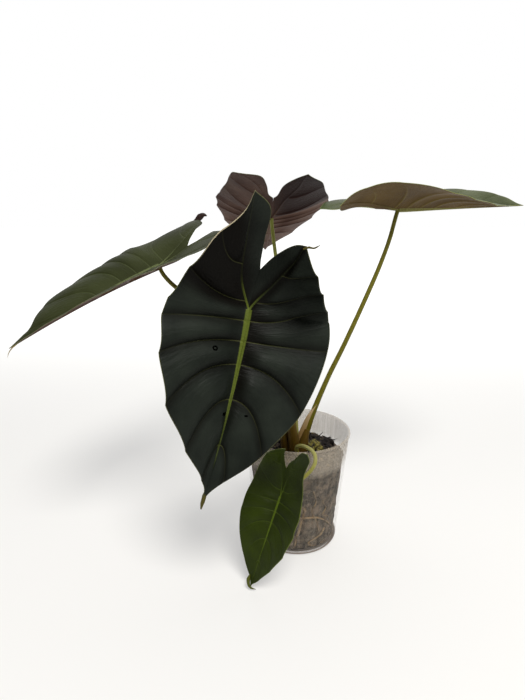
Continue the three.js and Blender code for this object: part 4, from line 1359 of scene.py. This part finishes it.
# Upper skins are satin with a waxy bloom; undersides are duller, with a purple to olive cast.
# On the front leaf, shade is painted into the skin as near black: on its left lobe, in the
# hollow right of its midrib and in the valleys at its veins. Its lobe has a cream margin
ON_LOBE = ("course", -0.35, -0.14, 1, 0)
AT_LOBE_MARGIN = [("edge", 0.35, 1, 1, 0), ("course", -0.6, -0.4, 1, 0)]
LEFT_OF_MIDRIB = ("x", -0.036, -0.052, 0, 1)
BACK_RIGHT_LOBE = ("x", -0.045, -0.01, 0, 1)
LEVEL_FAR_LOBE = ("x", 0.03, 0.01, 0, 1)
PAINTED_SHADE_BLACK = "070502"
upper_front = blade_skin(
    "blade_upper_black_green", ("161a16", "252a24", "464828", "586324", "5a5c3c"),
    rough=0.5, gloss=0.12,
    below=[
        # painted shade: the left lobe is darkened to near black, as it looks when it faces away from
        # the light
        (PAINTED_SHADE_BLACK, [ON_LOBE, LEFT_OF_MIDRIB]),
        # painted shadow: the blade right of the midrib is darkened near black, where the raised midrib
        # shades it
        (PAINTED_SHADE_BLACK, [("rib", 3, 28, 1, 0), ("out", -0.02, 0, 1, 0), ("course", 0.4, 0.9, 0.95, 0)]),
        # painted shade: the skin darkens towards each side vein, in the valleys between the quilted
        # pillows
        (PAINTED_SHADE_BLACK, [("vein", 0, 8, 0.57, 0)]),
    ],
    above=[("b3a88c", AT_LOBE_MARGIN + [LEFT_OF_MIDRIB])],
)
upper_small = blade_skin(
    "blade_upper_green", ("222b09", "303c0b", "3d4a16", "4a5a16", "5d6a2c"),
    rough=0.42, gloss=0.1,
)
upper_left = blade_skin(
    "blade_upper_grey_green", ("2a2e18", "383d24", "4a5034", "5c6440", "6c7050"),
    rough=0.5, gloss=0.06,
)
upper_right = blade_skin(
    "blade_upper_pale_green", ("454b34", "5a6045", "6a7050", "7d8648", "8a8f55"),
    rough=0.45, gloss=0.12,
    below=[("38451f", [ON_LOBE, LEVEL_FAR_LOBE])],
    above=[("5f6b40", AT_LOBE_MARGIN + [LEVEL_FAR_LOBE])],
)
under_purple = blade_skin(
    "blade_under_purple_brown", ("4b3730", "654f45", "33201b", "57402f", "68594e"),
    rough=0.55, gloss=0.06, vein_width=0.9,
    below=[("241512", [ON_LOBE, BACK_RIGHT_LOBE])],
    above=[("3a2a24", AT_LOBE_MARGIN + [BACK_RIGHT_LOBE])],
)
under_olive = blade_skin(
    "blade_under_olive_brown", ("4f3e23", "64512f", "75683a", "88854f", "78704f"),
    rough=0.5, gloss=0.08, vein_width=0.9,
)
BLADE_SKINS = {
    "front": (upper_front, under_purple),
    "small": (upper_small, under_olive),
    "back": (upper_left, under_purple),
    "left": (upper_left, under_purple),
    "right": (upper_right, under_olive),
}
for name, leaf in LEAVES.items():
    piece = blade_mesh(f"blade_{name}_leaf", leaf, BLADE_SKINS[name])
    if name == "front":
        front_leaf = piece
    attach(piece, "root")
    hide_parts(f"blade_{name}")


# Leaf tips
# Thin ends that curl off the blades: the left leaf's far lobe, the front leaf's right lobe,
# the hair tip of the left leaf and the torn, hooked tip of the small one. Each is swept.

# Withered leaf tissue: dull, purple brown, olive or straw coloured, with its roughness
TIP_TONES = {
    "purple": ("2a1a16", 0.6),
    "green": ("4a4f14", 0.5),
    "olive": ("4a4416", 0.6),
    "dry": ("8f7d45", 0.6),
}
TIP_SIDES = 12
tip_skins = {}
for tone, (tint, rough) in TIP_TONES.items():
    tip_skins[tone], tree, shader = new_material(
        f"leaf_tip_{tone}", Base_Color=colour(tint), Roughness=rough, Specular_IOR_Level=0.2
    )
# leaf, half, whether at the lobe, skin, places beyond the tip in mm and the radii there
LEAF_TIPS = [
    (
        "left", 1, True, "purple",
        [(-3, 0, -2), (0.5, 0, 0), (3.5, 0, 3), (7.5, -1, 5), (11, -1, 4)],
        (1.6, 3.2, 3.6, 2.4, 0.6),
    ),
    (
        "front", -1, True, "olive",
        [(-2, 1, -2), (1.5, 0, -0.8), (5, -1, -1.2), (9, -2, 0.8)],
        (0.7, 0.8, 0.6, 0.2),
    ),
    (
        "left", 1, False, "dry",
        [(8, 2, 5), (2, 0.5, 0), (-1, 0, -4), (-2.5, 0, -8)],
        (0.5, 0.5, 0.35, 0.12),
    ),
    (
        "front", 1, False, "olive",
        [(3.5, 1.5, 13), (1.8, 0.4, 5), (0.3, -0.5, 0), (-0.5, -1, -4)],
        (0.4, 1.8, 1.7, 0.6),
    ),
    (
        "small", 1, False, "green",
        [(0, 1, 14), (-1.5, 0, 9), (-1, -1.5, 4), (1, -2, 1.5), (5.5, -3, 0.6)],
        (0.4, 1.8, 1.4, 0.9, 0.2),
    ),
]
for i, (name, side, at_lobe, tone, places, girth) in enumerate(LEAF_TIPS):
    part = LEAVES[name][side]
    u, w = (part["lobe_tip"], part["margin"][0]) if at_lobe else (1.0, 0.0)
    start = blade_point(LEAVES[name], np.array(u), np.array(w), side)
    route = [start + np.array(p) for p in places]
    piece = rods(
        f"leaf_tip_{i}", [tapered(route, girth)], tip_skins[tone], TIP_SIDES,
        lumpiness=0.0004, lump_scale=300.0,
    )
    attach(piece, "root")


# Marks on the front leaf
# A dried water drop, which left a dark ring, and two dark specks. They lie on the upper
# side as thin rings and scales, pressed onto the blade.

# Dried sap and dirt: black and quite matt
mark_black, tree, shader = new_material(
    "leaf_mark_black", Base_Color=colour("020202"), Roughness=0.9, Specular_IOR_Level=0.0
)
MARK_HEIGHT = 0.5
MARK_SUNK = 0.3
MARK_POINTS = 20
# half, u, w, size across in mm and how much of its middle is open
MARKS = [
    (1, 0.2, 0.35, 4.2, 0.5),
    (1, 0.515, 0.06, 5.0, 0.0),
    (-1, 0.51, 0.22, 3.0, 0.0),
]
body = bmesh.new()
for side, u, w, size, opening in MARKS:
    middle = blade_point(LEAVES["front"], np.array(u), np.array(w), side)
    outward = blade_normal(LEAVES["front"], np.array(u), np.array(w), side)
    hit = front_leaf.ray_cast((middle + 20 * outward) * MM, -outward)
    middle, normal = np.array(hit[1]) / MM, np.array(hit[2])
    along = np.cross(normal, (1, 0, 0))
    along = along / np.linalg.norm(along)
    across = np.cross(normal, along)
    rings = []
    outer, inner = 0.5 * size, 0.5 * size * opening + 0.05
    section = [(outer, -MARK_SUNK), (outer, MARK_HEIGHT), (inner, MARK_HEIGHT), (inner, -MARK_SUNK)]
    for radius, height in section:
        ring = []
        for turn in np.linspace(0, 2 * math.pi, MARK_POINTS, endpoint=False):
            narrow = 1 if opening else 0.45
            flat = radius * (along * math.cos(turn) * narrow + across * math.sin(turn))
            ring.append(body.verts.new([c * MM for c in middle + flat + normal * height]))
        rings.append(ring)
    for low, high in zip(rings, rings[1:] + rings[:1]):
        for k in range(MARK_POINTS):
            after = (k + 1) % MARK_POINTS
            body.faces.new((low[k], low[after], high[after], high[k]))
piece = place_body("leaf_marks", body, mark_black)
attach(piece, "root")


# Floor, light and surroundings
# A pale floor with a painted glow round and behind the plant, one soft round light above and in
# front of the plant, and a room that is white behind the plant and dimmer in front of it, so that the
# dark leaf keeps its shading.
FLOOR_REACH = 6
LIGHT_PLACE = (0.3, -1.25, 1.9)
LIGHT_AIM = (0, 0, 0.2)
floor_mesh = bpy.data.meshes.new("floor")
corners = [(x * FLOOR_REACH, y * FLOOR_REACH, 0) for x, y in ((-1, -1), (1, -1), (1, 1), (-1, 1))]
floor_mesh.from_pydata(corners, [], [(0, 1, 2, 3)])

# Matt white paint with painted light: it glows round and behind the plant, lifting the plant's shadow
# and whitening the ground behind it, but not in front
floor_paint, tree, shader = new_material(
    "floor_matt_white", Base_Color=colour("b8b7b4"), Roughness=0.9
)
shader.inputs["Emission Color"].default_value = colour("ffffff")
spot = add_node(tree, "ShaderNodeTexCoord").outputs["Object"]
far = add_node(tree, "ShaderNodeSeparateXYZ", links={0: spot})
painted_glow = add_node(
    tree, "ShaderNodeMapRange", interpolation_type="SMOOTHSTEP",
    inputs={"From Min": 0.1, "From Max": 1.4, "To Min": 0.4, "To Max": 0.9},
    links={"Value": far.outputs["Y"]},
)
near = add_node(
    tree, "ShaderNodeMapRange", inputs={"From Min": -0.5, "From Max": -0.22},
    links={"Value": far.outputs["Y"]},
)
lit = add_node(
    tree, "ShaderNodeMath", operation="MULTIPLY", links={0: painted_glow.outputs[0], 1: near.outputs[0]}
)
tree.links.new(lit.outputs[0], shader.inputs["Emission Strength"])
floor = place_mesh("floor", floor_mesh, floor_paint)

light_data = bpy.data.lights.new("light_above", "AREA")
light_data.shape = "DISK"
light_data.size = 0.8
light_data.energy = 50
light_data.color = (1.0, 0.98, 0.95)
light = put("light_above", light_data)
light.location = LIGHT_PLACE
across, ahead, up = np.array(LIGHT_AIM) - np.array(LIGHT_PLACE)
light.rotation_euler = (
    math.atan2(math.hypot(across, ahead), -up), 0, math.pi - math.atan2(across, -ahead)
)

world = bpy.data.worlds.new("studio")
world.use_nodes = True
tree = world.node_tree
around = add_node(tree, "ShaderNodeTexCoord").outputs["Generated"]
depth = add_node(tree, "ShaderNodeSeparateXYZ", links={0: around})
strength = add_node(
    tree, "ShaderNodeMapRange", interpolation_type="SMOOTHSTEP",
    inputs={"From Min": -0.2, "From Max": 0.6, "To Min": 0.11, "To Max": 1.0},
    links={"Value": depth.outputs["Y"]},
)
tree.links.new(strength.outputs[0], tree.nodes["Background"].inputs["Strength"])
tree.nodes["Background"].inputs["Color"].default_value = colour("ffffff")
bpy.context.scene.world = world
bpy.context.scene.view_settings.view_transform = "Standard"
